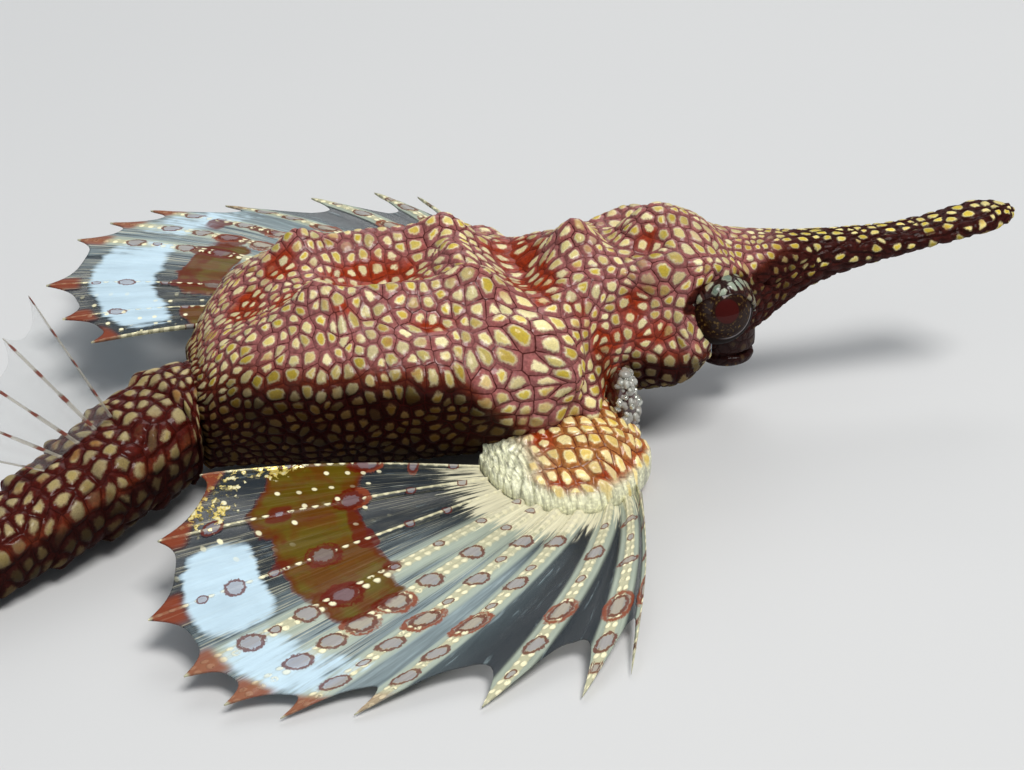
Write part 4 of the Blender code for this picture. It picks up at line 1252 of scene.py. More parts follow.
@dataclass(frozen=True)
class EyeFinish:
    """A dark wet eye: a maroon pupil, a brown iris with gold flecks and a pale crescent, a painted highlight.
    """

    name: str = "eye_wet"
    pupil: Colour = (0.045, 0.004, 0.003)
    iris: Colour = (0.016, 0.005, 0.003)
    gold: Colour = (0.30, 0.18, 0.045)
    rim: Colour = (0.008, 0.005, 0.005)
    # Colour of a painted highlight: a pale glassy crescent near the globe's edge.
    lens: Colour = (0.45, 0.42, 0.44)
    pupil_angle: float = 0.33
    iris_angle: float = 1.0

    def make(self) -> Material:
        """Build the material, from the turn and the angle off the line of sight.

        Returns:
            The finished material.
        """
        dress = Dress(self.name)
        turn, off, _ = dress.parts(dress.places())
        flat = {0: dress.math("SINE", turn * 6.2832) * off, 1: dress.math("COSINE", turn * 6.2832) * off}
        flecks = dress.noise(dress.node("ShaderNodeCombineXYZ", flat).outputs[0], 9.0, 4.0).rise(0.52, 0.7)
        band = off.rise(self.pupil_angle, self.pupil_angle + 0.05) * off.fall(0.75, self.iris_angle)
        # A painted highlight, a pale glassy crescent on one side near the globe's edge.
        painted_crescent_glint = off.rise(0.84, 0.88) * off.fall(0.9, 0.95) * turn.rise(0.7, 0.8)
        colour = dress.coats(
            self.pupil,
            (self.iris, off.rise(self.pupil_angle - 0.03, self.pupil_angle + 0.03)),
            (self.gold, flecks * band * 0.45),
            (self.rim, off.rise(0.85, 1.05) * 0.9),
            (self.lens, painted_crescent_glint * 0.5),
        )
        return dress.wear(
            Base_Color=colour, Roughness=0.25 + off.rise(0.7, 0.95) * 0.4, Specular_IOR_Level=0.04,
            Coat_Weight=off.fall(0.5, 0.75) * 0.3, Coat_Roughness=0.03,
        )


@dataclass
class Mouth:
    """The small mouth under the snout, two soft lips."""

    shift: Array
    centre: float = 34.7 * MM
    half_size: Pair = (1.88 * MM, 1.73 * MM)
    bottom: float = 2.67 * MM
    top: float = 5.9 * MM
    line_height: float = 0.36
    line_depth: float = 0.32
    folds: float = 14.0
    fold_depth: float = 0.02
    swell: Profile = Profile(
        {0: 0.2, 0.03: 0.55, 0.08: 0.8, 0.16: 0.96, 0.26: 1.0, 0.36: 0.96, 0.44: 1.0, 0.56: 1.02, 0.8: 1.0,
         1: 0.96}, 1.0
    )

    def build(self, material: Material) -> Piece:
        """Make the lips as rings stacked upward, drawn in along the mouth's line in front.

        Args:
            material: What it wears.

        Returns:
            The piece.
        """
        share = np.linspace(0.0, 1.0, 64)[:, None]
        wrap = np.linspace(0.0, 2 * np.pi, 73)
        turn = wrap[:-1]
        line = hill(share, self.line_height, 0.045) * bounded(0.45 + 0.55 * np.cos(turn))
        fold = 1.0 + self.fold_depth * np.cos(turn * self.folds) * hill(share, self.line_height, 0.14)
        size = self.swell(share) * (1.0 - self.line_depth * line) * fold
        x = self.centre + self.half_size[0] * size * np.cos(turn)
        z = self.bottom + (self.top - self.bottom) * share + 0 * size
        points = np.stack([x, self.half_size[1] * size * np.sin(turn), z], -1)
        places = np.stack(np.broadcast_arrays(wrap * 2.4, share * 4.0), -1)
        # The lips are painted darker toward the bottom: painted shade.
        paint = np.stack([0 * size, 0.55 * (1 - share) + 0 * size, line, 0 * size], -1)
        piece = Patch.tube(points, places, paint=paint).to_object("mouth_lips", self.shift, material)
        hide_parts("mouth")
        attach(piece, "root")
        return piece


@dataclass(frozen=True)
class PadForm:
    """The rim that the pectoral rays grow from, and the cushion inside it, on the left side."""

    centre: Pair = (20.6 * MM, 9.3 * MM)
    radii: Pair = (5.1 * MM, 5.2 * MM)
    first_angle: float = 32.0
    last_angle: float = 175.0
    front_angle: float = -8.0
    edge: float = 0.55 * MM
    rise: float = 1.9 * MM
    root_height: Profile = Profile({0: 1.2, 0.4: 1.4, 1: 2.6})

    def rim(self, u: Array, shrink: float = 0.0) -> Array:
        """Points on the rim, an ellipse about the pad's centre.

        Args:
            u: Places from the first ray to the last.
            shrink: How much smaller the ellipse is drawn.

        Returns:
            The points.
        """
        angle = np.radians(self.first_angle + (self.last_angle - self.first_angle) * u)
        x = self.centre[0] + (self.radii[0] - shrink) * np.cos(angle)
        y = self.centre[1] + (self.radii[1] - shrink) * np.sin(angle)
        return np.stack([x, y, self.root_height(u)], -1)


@dataclass
class Pad:
    """The fleshy shoulder pad of one pectoral fin, a low cushion of puffed pale plates."""

    shift: Array
    side: Side
    form: PadForm = field(default_factory=PadForm)
    pattern: CellPattern = field(default_factory=CellPattern)
    cell_size: float = 0.98 * MM
    relief: float = 0.26 * MM
    lobe: float = 0.5 * MM
    hollow: float = 0.55 * MM
    clearance: float = 0.62 * MM
    girth: float = 12.5 * MM
    fold: float = 0.1 * MM
    wart: float = 0.13 * MM

    def build(self, material: Material) -> Piece:
        """Make the cushion, from an inner line under the shoulder out to the rays' roots.

        Its height falls from the inner line to the rim as (1 - share^2.5)^0.7, with a full
        lobe in front. Behind, its plates give way to pale fibres that run out to the rays.

        Args:
            material: What it wears.

        Returns:
            The piece.
        """
        form = self.form
        angle = np.linspace(form.front_angle, form.last_angle + 4.0, 190)
        u = ((angle - form.first_angle) / (form.last_angle - form.first_angle))[:, None]
        share = np.linspace(0.0, 1.0, 76)[None, :]
        rim = form.rim(u, shrink=0.1 * MM)
        rim = rim + np.array([1.0 * MM, 0.3 * MM, 0.0]) * bounded(-4.0 * u)[..., None]
        kept = bounded(u)
        inner = np.stack([(17.6 + 6.4 * (1 - kept)) * MM, 0 * u + 7.0 * MM, 0 * u + 2.9 * MM], -1)
        middle = inner + (rim - inner) * share[..., None]
        fullness = (1.0 - share**2.5) ** 0.7 * (0.8 + 0.2 * np.sin(kept * np.pi))
        dome = form.edge * np.sqrt(bounded((1.02 - share) / 0.06)) + form.rise * fullness
        lobe = self.lobe * hill(u, 0.2, 0.22) * hill(share, 0.6, 0.25)
        fibre = ease(u, 0.5, 0.72) * ease(share, 0.3, 0.6) + ease(share, 0.86, 0.97)
        fibre = bounded(fibre)
        sink = ease(u, 0.6, 0.85) * ease(share, 0.25, 0.6) * ease(share, 1.0, 0.85)
        upper = middle + (dome + lobe - self.hollow * sink)[..., None] * UP
        lower = middle - dome[..., None] * UP * 0.8
        lower[..., 2] = np.maximum(lower[..., 2], self.clearance)
        out = np.linalg.norm(rim - inner, axis=-1)
        across = u * self.girth * (0.45 + 0.55 * share) / self.cell_size + 40.0
        wavy = across + 0.15 * np.sin(5.0 * share + 3.0 * u)
        places = np.stack([share * out / self.cell_size + 0.2 * np.sin(4.0 * u), wavy], -1)
        normal = grid_normals(upper, wrap=False)
        normal = normal * np.sign(normal[..., 2].mean())
        puff = self.relief * (self.pattern.dome(places, 0.3) - 0.75) * (1.0 - 0.8 * fibre)
        folds = np.sin(u * 122.0 + 1.6 * np.sin(u * 23.0)) * ease(share, 0.78, 0.9)
        warts = np.sin(u * 84.0 + 1.6 * np.sin(share * 17.0)) * np.sin(share * 31.0 + 1.6 * np.sin(u * 37.0))
        strand = fibre * (self.fold * folds + self.wart * warts * ease(share, 0.9, 0.78))
        upper = upper + normal * ((puff + strand) * bounded((1 - share) / 0.05))[..., None]
        hole = hill(u, 0.6, 0.1) * hill(share, 0.45, 0.2) * 1.3
        crease = hill(share, 0.86, 0.07) * ease(u, 0.7, 0.5) * 0.55
        red = bounded(greatest(hole, ease(share, 0.36, 0.12) * 0.6 + 0 * hole, crease))
        pale = ease(share, 0.2, 0.45) * ease(u, 0.75, 0.55)
        paint = np.stack([red, 0 * red, fibre * (1 - red), pale], -1)
        patch = Patch.slab(upper * self.side.flip, lower * self.side.flip, places, paint=paint)
        piece = patch.to_object(f"shoulder_pad_{self.side.word}", self.shift, material)
        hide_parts(f"pectoral_base_{self.side.word}")
        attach(piece, "root")
        return piece


@dataclass
class GillFrill:
    """Glassy tissue at one gill opening: a flap set with small wet beads."""

    shift: Array
    side: Side
    centre: Triple = (25.2, 6.9, 4.0)
    half_size: Triple = (1.05, 1.6, 2.5)
    beads: int = 130
    seed: int = 7

    def ball(self, centre: Array, half_size: Array, rings: int, sides: int, bead: float) -> Patch:
        """A small closed ball, stretched along the axes.

        Args:
            centre: Its middle, on the left side.
            half_size: Half its size along each axis.
            rings: How many rings it has.
            sides: How many points a ring has.
            bead: How much of a bead it is, from 0 to 1.

        Returns:
            The ball.
        """
        lift = np.linspace(-np.pi / 2, np.pi / 2, rings + 2)[1:-1][:, None]
        turn = np.linspace(0, 2 * np.pi, sides, endpoint=False)[None, :]
        out = np.cos(lift)
        unit = np.stack([out * np.cos(turn), out * np.sin(turn), np.sin(lift) + 0 * turn], -1)
        points = (centre + unit * half_size) * self.side.flip
        places = np.stack(np.broadcast_arrays(np.linspace(0.0, 6.0, sides + 1), lift * 2.0), -1)
        return Patch.tube(points, places, bead=np.full((rings, sides, 4), bead))

    def build(self, material: Material) -> Piece:
        """Make the flap and scatter its beads over the side that shows.

        Args:
            material: What it wears.

        Returns:
            The piece.
        """
        chance = np.random.default_rng(self.seed)
        centre, size = np.array(self.centre) * MM, np.array(self.half_size) * MM
        parts = [self.ball(centre, size, 20, 32, 0.0)]
        for _ in range(self.beads):
            turn, lift = chance.uniform(-0.5, 2.2), chance.uniform(-0.9, 1.35)
            unit = np.array([np.cos(lift) * np.cos(turn), np.cos(lift) * np.sin(turn), np.sin(lift)])
            radius = chance.uniform(0.1, 0.32) * MM * chance.uniform(0.7, 1.3, 3)
            place = centre + unit * size * chance.uniform(0.9, 1.08)
            parts.append(self.ball(place, radius, 7, 12, chance.uniform(0.35, 1.0)))
        piece = Patch.joined(parts).to_object(f"gill_frill_{self.side.word}", self.shift, material)
        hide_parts(f"gill_flap_{self.side.word}")
        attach(piece, "root")
        return piece


@dataclass(frozen=True)
class GlassyFinish:
    """Wet, half clear tissue with a silvery sheen."""

    name: str = "gill_glassy"
    tint: Colour = (0.78, 0.80, 0.72)
    deep: Colour = (0.055, 0.010, 0.006)
    clear: float = 0.35

    def make(self) -> Material:
        """Build the material.

        Returns:
            The finished material.
        """
        dress = Dress(self.name)
        body = dress.body()
        cloud = dress.noise(body, 1500.0, 3.0)
        bead, *_ = dress.layer("bead")
        colour = dress.mix(self.deep, self.tint, (bead * (0.5 + cloud)).kept())
        dress.bump(dress.noise(body, 5000.0), 0.00005)
        return dress.wear(
            Base_Color=colour, Roughness=0.06 + cloud * 0.06, Alpha=(1.0 - bead * self.clear).kept(),
            Metallic=bead.rise(0.7, 0.9) * 0.6, Coat_Weight=1.0, Coat_Roughness=0.02,
        )


@dataclass(frozen=True)
class WingForm:
    """The rays of a pectoral fin by place from its first ray, 0, to its last, 1."""

    length: Profile
    heading: Profile
    bow: Profile
    tip_height: Profile
    pad: PadForm = field(default_factory=PadForm)

    def middle(self, u: Array, v: Array) -> Array:
        """The middle surface, on the left side.

        A ray leaves the pad's rim at its heading, bows sideways as 4v(1 - v), and its height
        goes from root to tip as v^1.4 with a low arch on top.

        Args:
            u: Places from the first ray to the last.
            v: Shares of the length.

        Returns:
            The points.
        """
        inside = bounded(u)
        root = self.pad.rim(u)
        heading = np.radians(self.heading(inside) + (u - inside) * 100.0)
        length = self.length(inside)
        bow = self.bow(inside) * 4 * v * (1 - v)
        x = root[..., 0] - np.sin(heading) * length * v + np.cos(heading) * bow
        y = root[..., 1] + np.cos(heading) * length * v + np.sin(heading) * bow
        z = root[..., 2] + (self.tip_height(inside) - root[..., 2]) * v**1.4 + 0.9 * MM * 4 * v * (1 - v)
        return np.stack([x, y, z], -1)


WING_FORMS = {
    Side.LEFT: WingForm(
        length=Profile({0: 17, 0.2: 18.5, 0.4: 21.5, 0.55: 26, 0.7: 26.8, 0.8: 26, 0.9: 24, 1: 22}),
        heading=Profile(
            {0: 19, 0.1: 22, 0.22: 32, 0.34: 42, 0.46: 48, 0.56: 54, 0.7: 63, 0.8: 77, 0.9: 88, 1: 97}, 1.0
        ),
        bow=Profile({0: 0.5, 0.4: 1.7, 0.8: 1.2, 1: 1.0}),
        tip_height=Profile({0: 4.9, 0.5: 5.0, 0.75: 5.2, 1: 5.5}),
    ),
    Side.RIGHT: WingForm(
        length=Profile({0: 17, 0.2: 17.9, 0.4: 20.3, 0.65: 23.2, 0.8: 22.6, 0.9: 20.2, 1: 16.5}),
        heading=Profile(
            {0: 19, 0.1: 22, 0.22: 33, 0.34: 45, 0.46: 51, 0.58: 56, 0.7: 62, 0.8: 68, 0.9: 77, 1: 86}, 1.0
        ),
        bow=Profile({0: 0.5, 0.4: 1.7, 0.8: 1.2, 1: 0.3}),
        tip_height=Profile({0: 0.2, 0.5: 0.2, 0.62: 0.7, 0.75: 1.6, 0.87: 3.2, 1: 5.2}),
    ),
}


@dataclass
class Fin:
    """Any fin as one closed sheet: rays swell out of a thin film, and their tips stand free."""

    surface: Surface
    rays: tuple[float, ...]
    rows: int
    between: int
    ray_width: Profile
    ray_thick: Profile
    film: float
    notch: Callable[[Array], Array]
    tip_power: float = 2.4
    slim: Callable[[Array], Array] = np.ones_like
    nudge: float = 0.01
    sag: float = 0.14 * MM

    def columns(self) -> Array:
        """Where the columns stand, closest at the rays.

        Returns:
            Their ray numbers.
        """
        step = np.linspace(0.0, 1.0, self.between + 1)[:-1]
        eased = np.where(step < 0.5, 2 * step**2, 1 - 2 * (1 - step) ** 2)
        near = 0.5 * (0.5 - 0.5 * np.cos(step * np.pi)) + 0.5 * eased
        last = len(self.rays) - 1
        return np.concatenate([index + near for index in range(last)] + [[float(last)]])

    def patch(self, side: Side, paint: Callable[[Array, Array], dict[str, Array]] | None = None) -> Patch:
        """Work out both faces of the fin.

        A column ends at the notch's share of the length plus the rest times (1 - s)^p, s being
        the way from ray to mid film, so each ray ends in a point. The thickness is a half
        ellipse across each ray on a lower and wider one, never less than the film.

        Args:
            side: The side of the animal; the surface is that of the left one.
            paint: Layers by ray number and share of the length, if there are any.

        Returns:
            The closed fin. Its places are the ray number and the length from the root in mm.
        """
        number = self.columns()
        nearest = np.round(number).astype(int)
        away = np.abs(number - nearest) * 2.0
        u = np.interp(number, np.arange(len(self.rays)), self.rays)
        reach = (self.notch(u) + (1.0 - self.notch(u)) * (1.0 - away) ** self.tip_power)[:, None]
        v = np.linspace(0.0, 1.0, self.rows) * reach
        uu = u[:, None] + 0 * v
        over = self.surface(uu + self.nudge, v) - self.surface(uu - self.nudge, v)
        along = self.surface(uu, v + self.nudge) - self.surface(uu, np.maximum(v - self.nudge, 0.0))
        normal = np.cross(over, along)
        normal = normal / np.linalg.norm(normal, axis=-1, keepdims=True)
        spread = np.linalg.norm(over, axis=-1) / (2 * self.nudge)
        off = np.abs(u - np.array(self.rays)[nearest])[:, None] * spread
        slim = self.slim(number)[:, None]
        half = self.ray_width(v) / 2 * slim
        swell, flange = (np.sqrt(bounded(1.0 - (off / (wide * half)) ** 2)) for wide in (1.0, 2.0))
        fade = np.clip((1.0 - v) / 0.04, 0.15, 1.0) * (0.4 + 0.6 * slim)
        thick = self.film / 2 + (self.ray_thick(v) / 2 - self.film / 2) * (0.7 * swell + 0.3 * flange) * fade
        middle = self.surface(uu, v)
        sag = self.sag * np.sin(np.pi * bounded(away))[:, None] * np.sin(np.pi * v)
        faces = [middle + normal * way[..., None] for way in (thick - sag, -(thick + sag))]
        for face in faces:
            face[..., 2] = np.maximum(face[..., 2], 0.0)
        numbers = number[:, None] + 0 * v
        layers = paint(numbers, v) if paint else {}
        layers["core"] = np.stack([swell, v, off / MM, 0 * v], -1)
        upper, lower = (face * side.flip for face in faces)
        return Patch.slab(upper, lower, np.stack([numbers, run_along(middle) / MM], -1), **layers)


class Tone(Enum):
    """What a marking on a ray looks like: how red it is, and its half length and half width in mm."""

    RING = (0.12, 0.7, 0.6)
    SMALL = (0.3, 0.34, 0.28)
    RED = (1.0, 0.8, 0.62)
    BAND = (0.75, 0.3, 0.75)
    VIOLET = (0.45, 0.6, 0.55)


RING, SMALL, RED, BAND, VIOLET = Tone
RAY_PLACES = (0.0, 0.14, 0.26, 0.42, 0.527, 0.615, 0.7, 0.81, 0.91, 1.0)
MARKS: tuple[dict[float, Tone], ...] = (
    {0.12: BAND, 0.29: BAND, 0.48: BAND, 0.65: RED, 0.78: BAND, 0.89: BAND},
    {0.18: BAND, 0.3: SMALL, 0.43: BAND, 0.65: RED, 0.8: RING, 0.9: BAND},
    {0.16: SMALL, 0.32: RING, 0.46: SMALL, 0.61: RED, 0.76: RING, 0.88: SMALL},
    {0.2: RING, 0.35: SMALL, 0.43: RING, 0.54: SMALL, 0.62: RED, 0.75: RING, 0.85: RING},
    {0.2: RING, 0.3: SMALL, 0.4: RING, 0.51: SMALL, 0.59: RED, 0.7: RING, 0.78: SMALL, 0.86: RING},
    {0.04: SMALL, 0.15: SMALL, 0.29: RING, 0.44: RING, 0.55: RED, 0.65: RED, 0.73: RING, 0.82: RING},
    {0.02: SMALL, 0.16: SMALL, 0.31: SMALL, 0.45: SMALL, 0.6: RED, 0.7: RING, 0.78: SMALL, 0.84: RING},
    {0.19: SMALL, 0.31: SMALL, 0.56: RED, 0.69: SMALL, 0.79: VIOLET, 0.87: SMALL},
    {0.09: SMALL, 0.26: SMALL, 0.45: RED, 0.66: SMALL, 0.85: VIOLET},
    {0.1: SMALL, 0.25: BAND, 0.42: RED, 0.7: SMALL},
)


@dataclass(frozen=True)
class Patches:
    """Patches of colour on a fin: strength, ray number, share of the length, and half size on both."""

    amber: tuple[tuple[float, ...], ...]
    red: tuple[tuple[float, ...], ...]
    white: tuple[tuple[float, ...], ...]
    gold: tuple[tuple[float, ...], ...]

    def masks(self, ray: Array, v: Array) -> Array:
        """The four masks by ray number and share of the length, each the greatest of flat-topped bells."""
        return np.stack([
            greatest(*(
                strength * np.exp(-(((ray - at) / wide) ** 4) - (((v - along) / long) ** 4))
                for strength, at, along, wide, long in rows
            ))
            for rows in (self.amber, self.red, self.white, self.gold)
        ], -1)


PATCHES = {
    Side.LEFT: Patches(
        amber=((1.0, 6.4, 0.6, 1.0, 0.06), (1.0, 8.6, 0.6, 0.6, 0.09)),
        red=((1.0, 5.8, 0.64, 2.2, 0.05), (1.0, 4.4, 0.76, 0.4, 0.04)),
        white=((0.85, 7.4, 0.8, 1.6, 0.1), (0.55, 4.4, 0.82, 1.4, 0.1)),
        gold=((0.6, 8.9, 0.8, 0.4, 0.12),),
    ),
    Side.RIGHT: Patches(
        amber=((1.0, 8.6, 0.58, 1.0, 0.16), (1.0, 7.0, 0.55, 0.9, 0.12), (0.62, 5.8, 0.585, 0.8, 0.1)),
        red=((1.0, 7.6, 0.44, 1.6, 0.035), (1.0, 6.3, 0.6, 0.6, 0.06), (0.7, 7.6, 0.66, 0.8, 0.05)),
        white=((1.0, 7.0, 0.82, 0.75, 0.1), (0.62, 5.0, 0.84, 1.5, 0.1)),
        gold=((1.0, 8.5, 0.88, 0.6, 0.1), (1.0, 9.0, 0.8, 0.3, 0.2)),
    ),
}


@dataclass
class Wing:
    """One pectoral fin, a fan of long rays that ends in free pointed tips."""

    shift: Array
    side: Side

    def marks(self, ray: Array, v: Array) -> Array:
        """The markings, as the way along a ray to its nearest one over that one's half length.

        Args:
            ray: Ray numbers, 0 in front.
            v: Shares of the length.

        Returns:
            That way, the marking's redness and half width, and how slim the ray is.
        """
        place = np.interp(ray, np.arange(len(RAY_PLACES)), RAY_PLACES)
        length = WING_FORMS[self.side].length(place) / MM
        found = np.stack([np.full_like(v, 9.0), np.zeros_like(v), np.full_like(v, 0.5), self.slim(ray)], -1)
        for index, row in enumerate(MARKS):
            mine = np.round(ray) == index
            for share, tone in row.items():
                red, half_length, half_width = tone.value
                away = np.abs(v - share) * length / half_length
                closer = mine & (away < found[..., 0])
                found[closer, 0] = away[closer]
                found[closer, 1:3] = red, half_width
        return found

    @staticmethod
    def slim(ray: Array) -> Array:
        """Rays are full straps in front and thin threads behind."""
        return 1.0 - 0.72 * ease(ray, 5.6, 7.2)

    def paint(self, ray: Array, v: Array) -> dict[str, Array]:
        """The masks of amber, red, white enamel and gold, and the markings."""
        return {"paint": PATCHES[self.side].masks(ray, v), "mark": self.marks(ray, v)}

    def build(self, material: Material) -> Piece:
        """Make the fin.

        Args:
            material: What it wears.

        Returns:
            The piece.
        """
        fin = Fin(
            WING_FORMS[self.side].middle, RAY_PLACES, rows=156, between=24, slim=self.slim, tip_power=3.0,
            ray_width=Profile({0: 0.66, 0.25: 0.8, 0.7: 0.76, 1: 0.3}), film=0.12 * MM,
            ray_thick=Profile({0: 0.85, 0.5: 0.66, 1: 0.3}),
            notch=lambda u: 0.74 + 0.19 * bounded((u - 0.15) / 0.45),
        )
        piece = fin.patch(self.side, self.paint).to_object(f"wing_{self.side.word}", self.shift, material)
        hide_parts(f"pectoral_fin_{self.side.word}")
        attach(piece, "root")
        return piece


@dataclass(frozen=True)
class WingFinish:
    """Fin film between banded rays, with amber, red, white and gold patches."""

    name: str = "wing_film"
    cream: Colour = (0.56, 0.53, 0.34)
    flange: Colour = (0.46, 0.52, 0.42)
    milk: Colour = (0.32, 0.40, 0.42)
    # The film's own smoky tint, made darker as painted shade: the shade seen through a clear fin.
    smoke_and_shade: Colour = (0.028, 0.038, 0.048)
    fibre: Colour = (0.74, 0.70, 0.50)
    outline: Colour = (0.13, 0.022, 0.014)
    grey: Colour = (0.30, 0.28, 0.32)
    bead: Colour = (0.98, 0.92, 0.62)
    amber: Colour = (0.13, 0.045, 0.001)
    olive: Colour = (0.12, 0.080, 0.002)
    red: Colour = (0.12, 0.008, 0.002)
    brick: Colour = (0.25, 0.050, 0.018)
    pale_gold: Colour = (0.92, 0.86, 0.55)
    white: Colour = (0.56, 0.73, 0.84)
    gold: Colour = (0.80, 0.62, 0.16)
    bead_pitch: float = 0.72
    bead_radius: float = 0.21

    def make(self) -> Material:
        """Build the material, from the ray number and the length along it.

        The film comes first, then the rays, the fibres at the root, the patches, the ring
        marks with their beads, the sparkle and the gold.

        Returns:
            The finished material.
        """
        dress = Dress(self.name)
        places, body = dress.places(), dress.body()
        number, run, _ = dress.parts(places)
        amber, blotch, white, gold = dress.layer("paint")
        _, v, off, _ = dress.layer("core")
        near, redness, wide, slim = dress.layer("mark")
        streak = dress.noise(dress.stretched(places, (11.0, 0.3, 1.0)), 1.0, 4.0)
        scratch = dress.noise(dress.stretched(places, (34.0, 0.14, 1.0)), 1.0, 3.0)
        cloud = dress.noise(body, 420.0, 3.0)
        grit = dress.noise(body, 2600.0)
        glint = dress.noise(body, 2600.0, 3.0)
        core = off.fall(0.26, 0.4) * slim.rise(0.5, 0.9)
        strap = off.fall(0.62, 0.98) * slim.rise(0.4, 0.9)
        thread = off.fall(0.05, 0.12) * slim.fall(0.4, 0.9)
        root = run.fall(0.5, 6.5) * (0.5 + number.rise(1.0, 4.0) * 0.4 - number.rise(6.2, 8.0) * 0.25)
        milky = number.rise(2.2, 3.6) * number.fall(5.9, 7.2) * v.rise(0.1, 0.4)
        milky = (milky * (0.3 + streak * 0.9)).kept()
        threads = number.rise(3.6, 4.8) * number.fall(8.4, 8.9) * v.rise(0.12, 0.3)
        fibrous = (root + streak.swing(1.7)).rise(0.38, 0.66)
        edge = (white + cloud.swing(0.6) + streak.swing(0.5)).rise(0.36, 0.62)
        border = amber + cloud.swing(0.7) + grit.swing(0.2)
        warm = border.rise(0.3, 0.42)
        ember = dress.mix(self.amber, self.olive, cloud.rise(0.42, 0.6))
        rim = border.rise(0.26, 0.34) * border.fall(0.4, 0.62)
        ragged = blotch * (0.5 + off.fall(0.3, 0.9) * 0.5) + cloud.swing(1.1)
        stain = (ragged.rise(0.4, 0.6) + rim * 0.6).kept()
        far = off / wide
        way = dress.math("SQRT", far * far + near * near)
        oval = way + grit.swing(0.45) + dress.noise(body, 6500.0).swing(0.45)
        halo = (oval - redness * redness * 0.6 + cloud.swing(1.3)).fall(0.7, 0.95) * redness.rise(0.35, 0.6)
        halo = halo * (0.25 + (oval + grit.swing(0.8)).rise(0.95, 1.2) * 0.75)
        inside = oval.fall(0.62, 0.8)
        ring = oval.rise(0.68, 0.8) * oval.fall(0.96, 1.12)
        beat = dress.math("FRACT", run / self.bead_pitch + dress.chance(number) * 3.0)
        along = (beat - 0.5) * self.bead_pitch / self.bead_radius
        aside = (off - slim.rise(0.5, 0.9) * 0.22) / (0.09 + slim * 0.09)
        beads = (aside * aside + along * along).fall(0.3, 1.4) * grit.rise(0.3, 0.45)
        beads = beads * oval.rise(0.9, 1.05) * (0.5 + v.rise(0.2, 0.5) * 0.5)
        lattice = dress.stretched(places, (3.0, 0.95, 1.0))
        _, far_dot, (bright, _, _) = dress.cells(lattice, CellPattern(0.3))
        sparkle = far_dot.fall(0.1, 0.18) * bright.rise(0.35, 0.5)
        sparkle = sparkle * number.rise(7.2, 7.8) * v.rise(0.3, 0.4) * v.fall(0.93, 0.96)
        metal = (gold + glint.swing(4.0) + cloud.swing(2.0)).rise(1.0, 1.25) * gold.rise(0.15, 0.5)
        outer = (off.fall(0.6, 1.3) + number.rise(8.3, 8.8)).kept()
        tip = v.rise(0.9, 0.93) * v.fall(0.985, 0.995) * number.rise(2.4, 3.6) * outer
        colour = dress.coats(
            self.smoke_and_shade,
            (self.milk, milky),
            (self.milk, streak.rise(0.6, 0.7) * 0.5),
            (self.smoke_and_shade, scratch.rise(0.54, 0.6) * threads * 0.85),
            (self.fibre, scratch.fall(0.4, 0.44) * threads * 0.5),
            (self.flange, strap * (0.5 + streak * 0.5)),
            (self.cream, (core * 0.8 + thread * 0.9).kept()),
            (dress.shaded(self.fibre, 0.55 + streak * 0.9), fibrous * 0.92),
            (dress.shaded(self.white, 0.7 + streak * 0.3 + cloud * 0.3), edge * 0.92),
            (dress.shaded(ember, 0.6 + streak * 0.8), warm * 0.95),
            (self.red, stain * 0.85),
            (dress.mix(self.brick, self.red, (warm + grit - 0.5).kept()), halo * 0.9),
            (self.grey, inside * (1.0 - redness * 0.5) * 0.8),
            (self.bead, beads * 0.95 * (1.0 - edge * 0.5)),
            (self.outline, ring * 0.85),
            (self.bead, sparkle * (0.4 + bright * 0.6)),
            (dress.mix(self.gold, self.pale_gold, glint.rise(0.56, 0.68)), metal),
            (self.brick, tip * 0.85),
        )
        solid = strap * 0.55 + core * 0.4 + thread * 0.7 + milky * 0.5 + fibrous * 0.7 + edge + warm * 0.85
        solid = solid + stain * 0.7 + halo + inside * 0.5 + ring * 0.8 + metal + tip + beads + sparkle
        # The half opaque film with its dark tint stands in for the shade behind the fin: painted shade.
        alpha = (0.52 + streak.rise(0.55, 0.7) * 0.2 + solid + v.fall(0.0, 0.04)).kept()
        dress.bump(streak * 0.5 + beads * 0.5 + grit * 0.2, 0.00009)
        return dress.wear(
            Base_Color=colour, Roughness=0.3 + cloud * 0.2, Metallic=metal * 0.5, Alpha=alpha,
            Coat_Weight=0.06, Coat_Roughness=0.1, Specular_IOR_Level=0.06,
        )


@dataclass(frozen=True)
class FilmFinish:
    """A thin clear fin film with a row of small red bands on each ray."""

    name: str
    ray: Colour
    film: Colour
    band: Colour
    film_alpha: float
    ray_alpha: float
    pitch: float

    def make(self) -> Material:
        """Build the material, from the ray number and the length along it.

        Returns:
            The finished material.
        """
        dress = Dress(self.name)
        number, run, _ = dress.parts(dress.places())
        core, *_ = dress.layer("core")
        body = dress.body()
        cloud = dress.noise(body, 900.0)
        beat = dress.math("FRACT", run / self.pitch + dress.chance(number))
        band = beat.rise(0.3, 0.36) * beat.fall(0.54, 0.6) * core.rise(0.05, 0.4)
        share = core.rise(0.05, 0.5)
        film = dress.shaded(dress.mix(self.film, self.ray, share), 0.8 + cloud * 0.4)
        alpha = self.film_alpha + share * (self.ray_alpha - self.film_alpha) + band * (1.0 - self.ray_alpha)
        dress.bump(dress.noise(body, 3500.0), 0.00003)
        return dress.wear(
            Base_Color=dress.mix(film, self.band, band * 0.9), Roughness=0.28 + cloud * 0.1,
            Alpha=alpha.kept(), Coat_Weight=0.3, Coat_Roughness=0.1,
        )


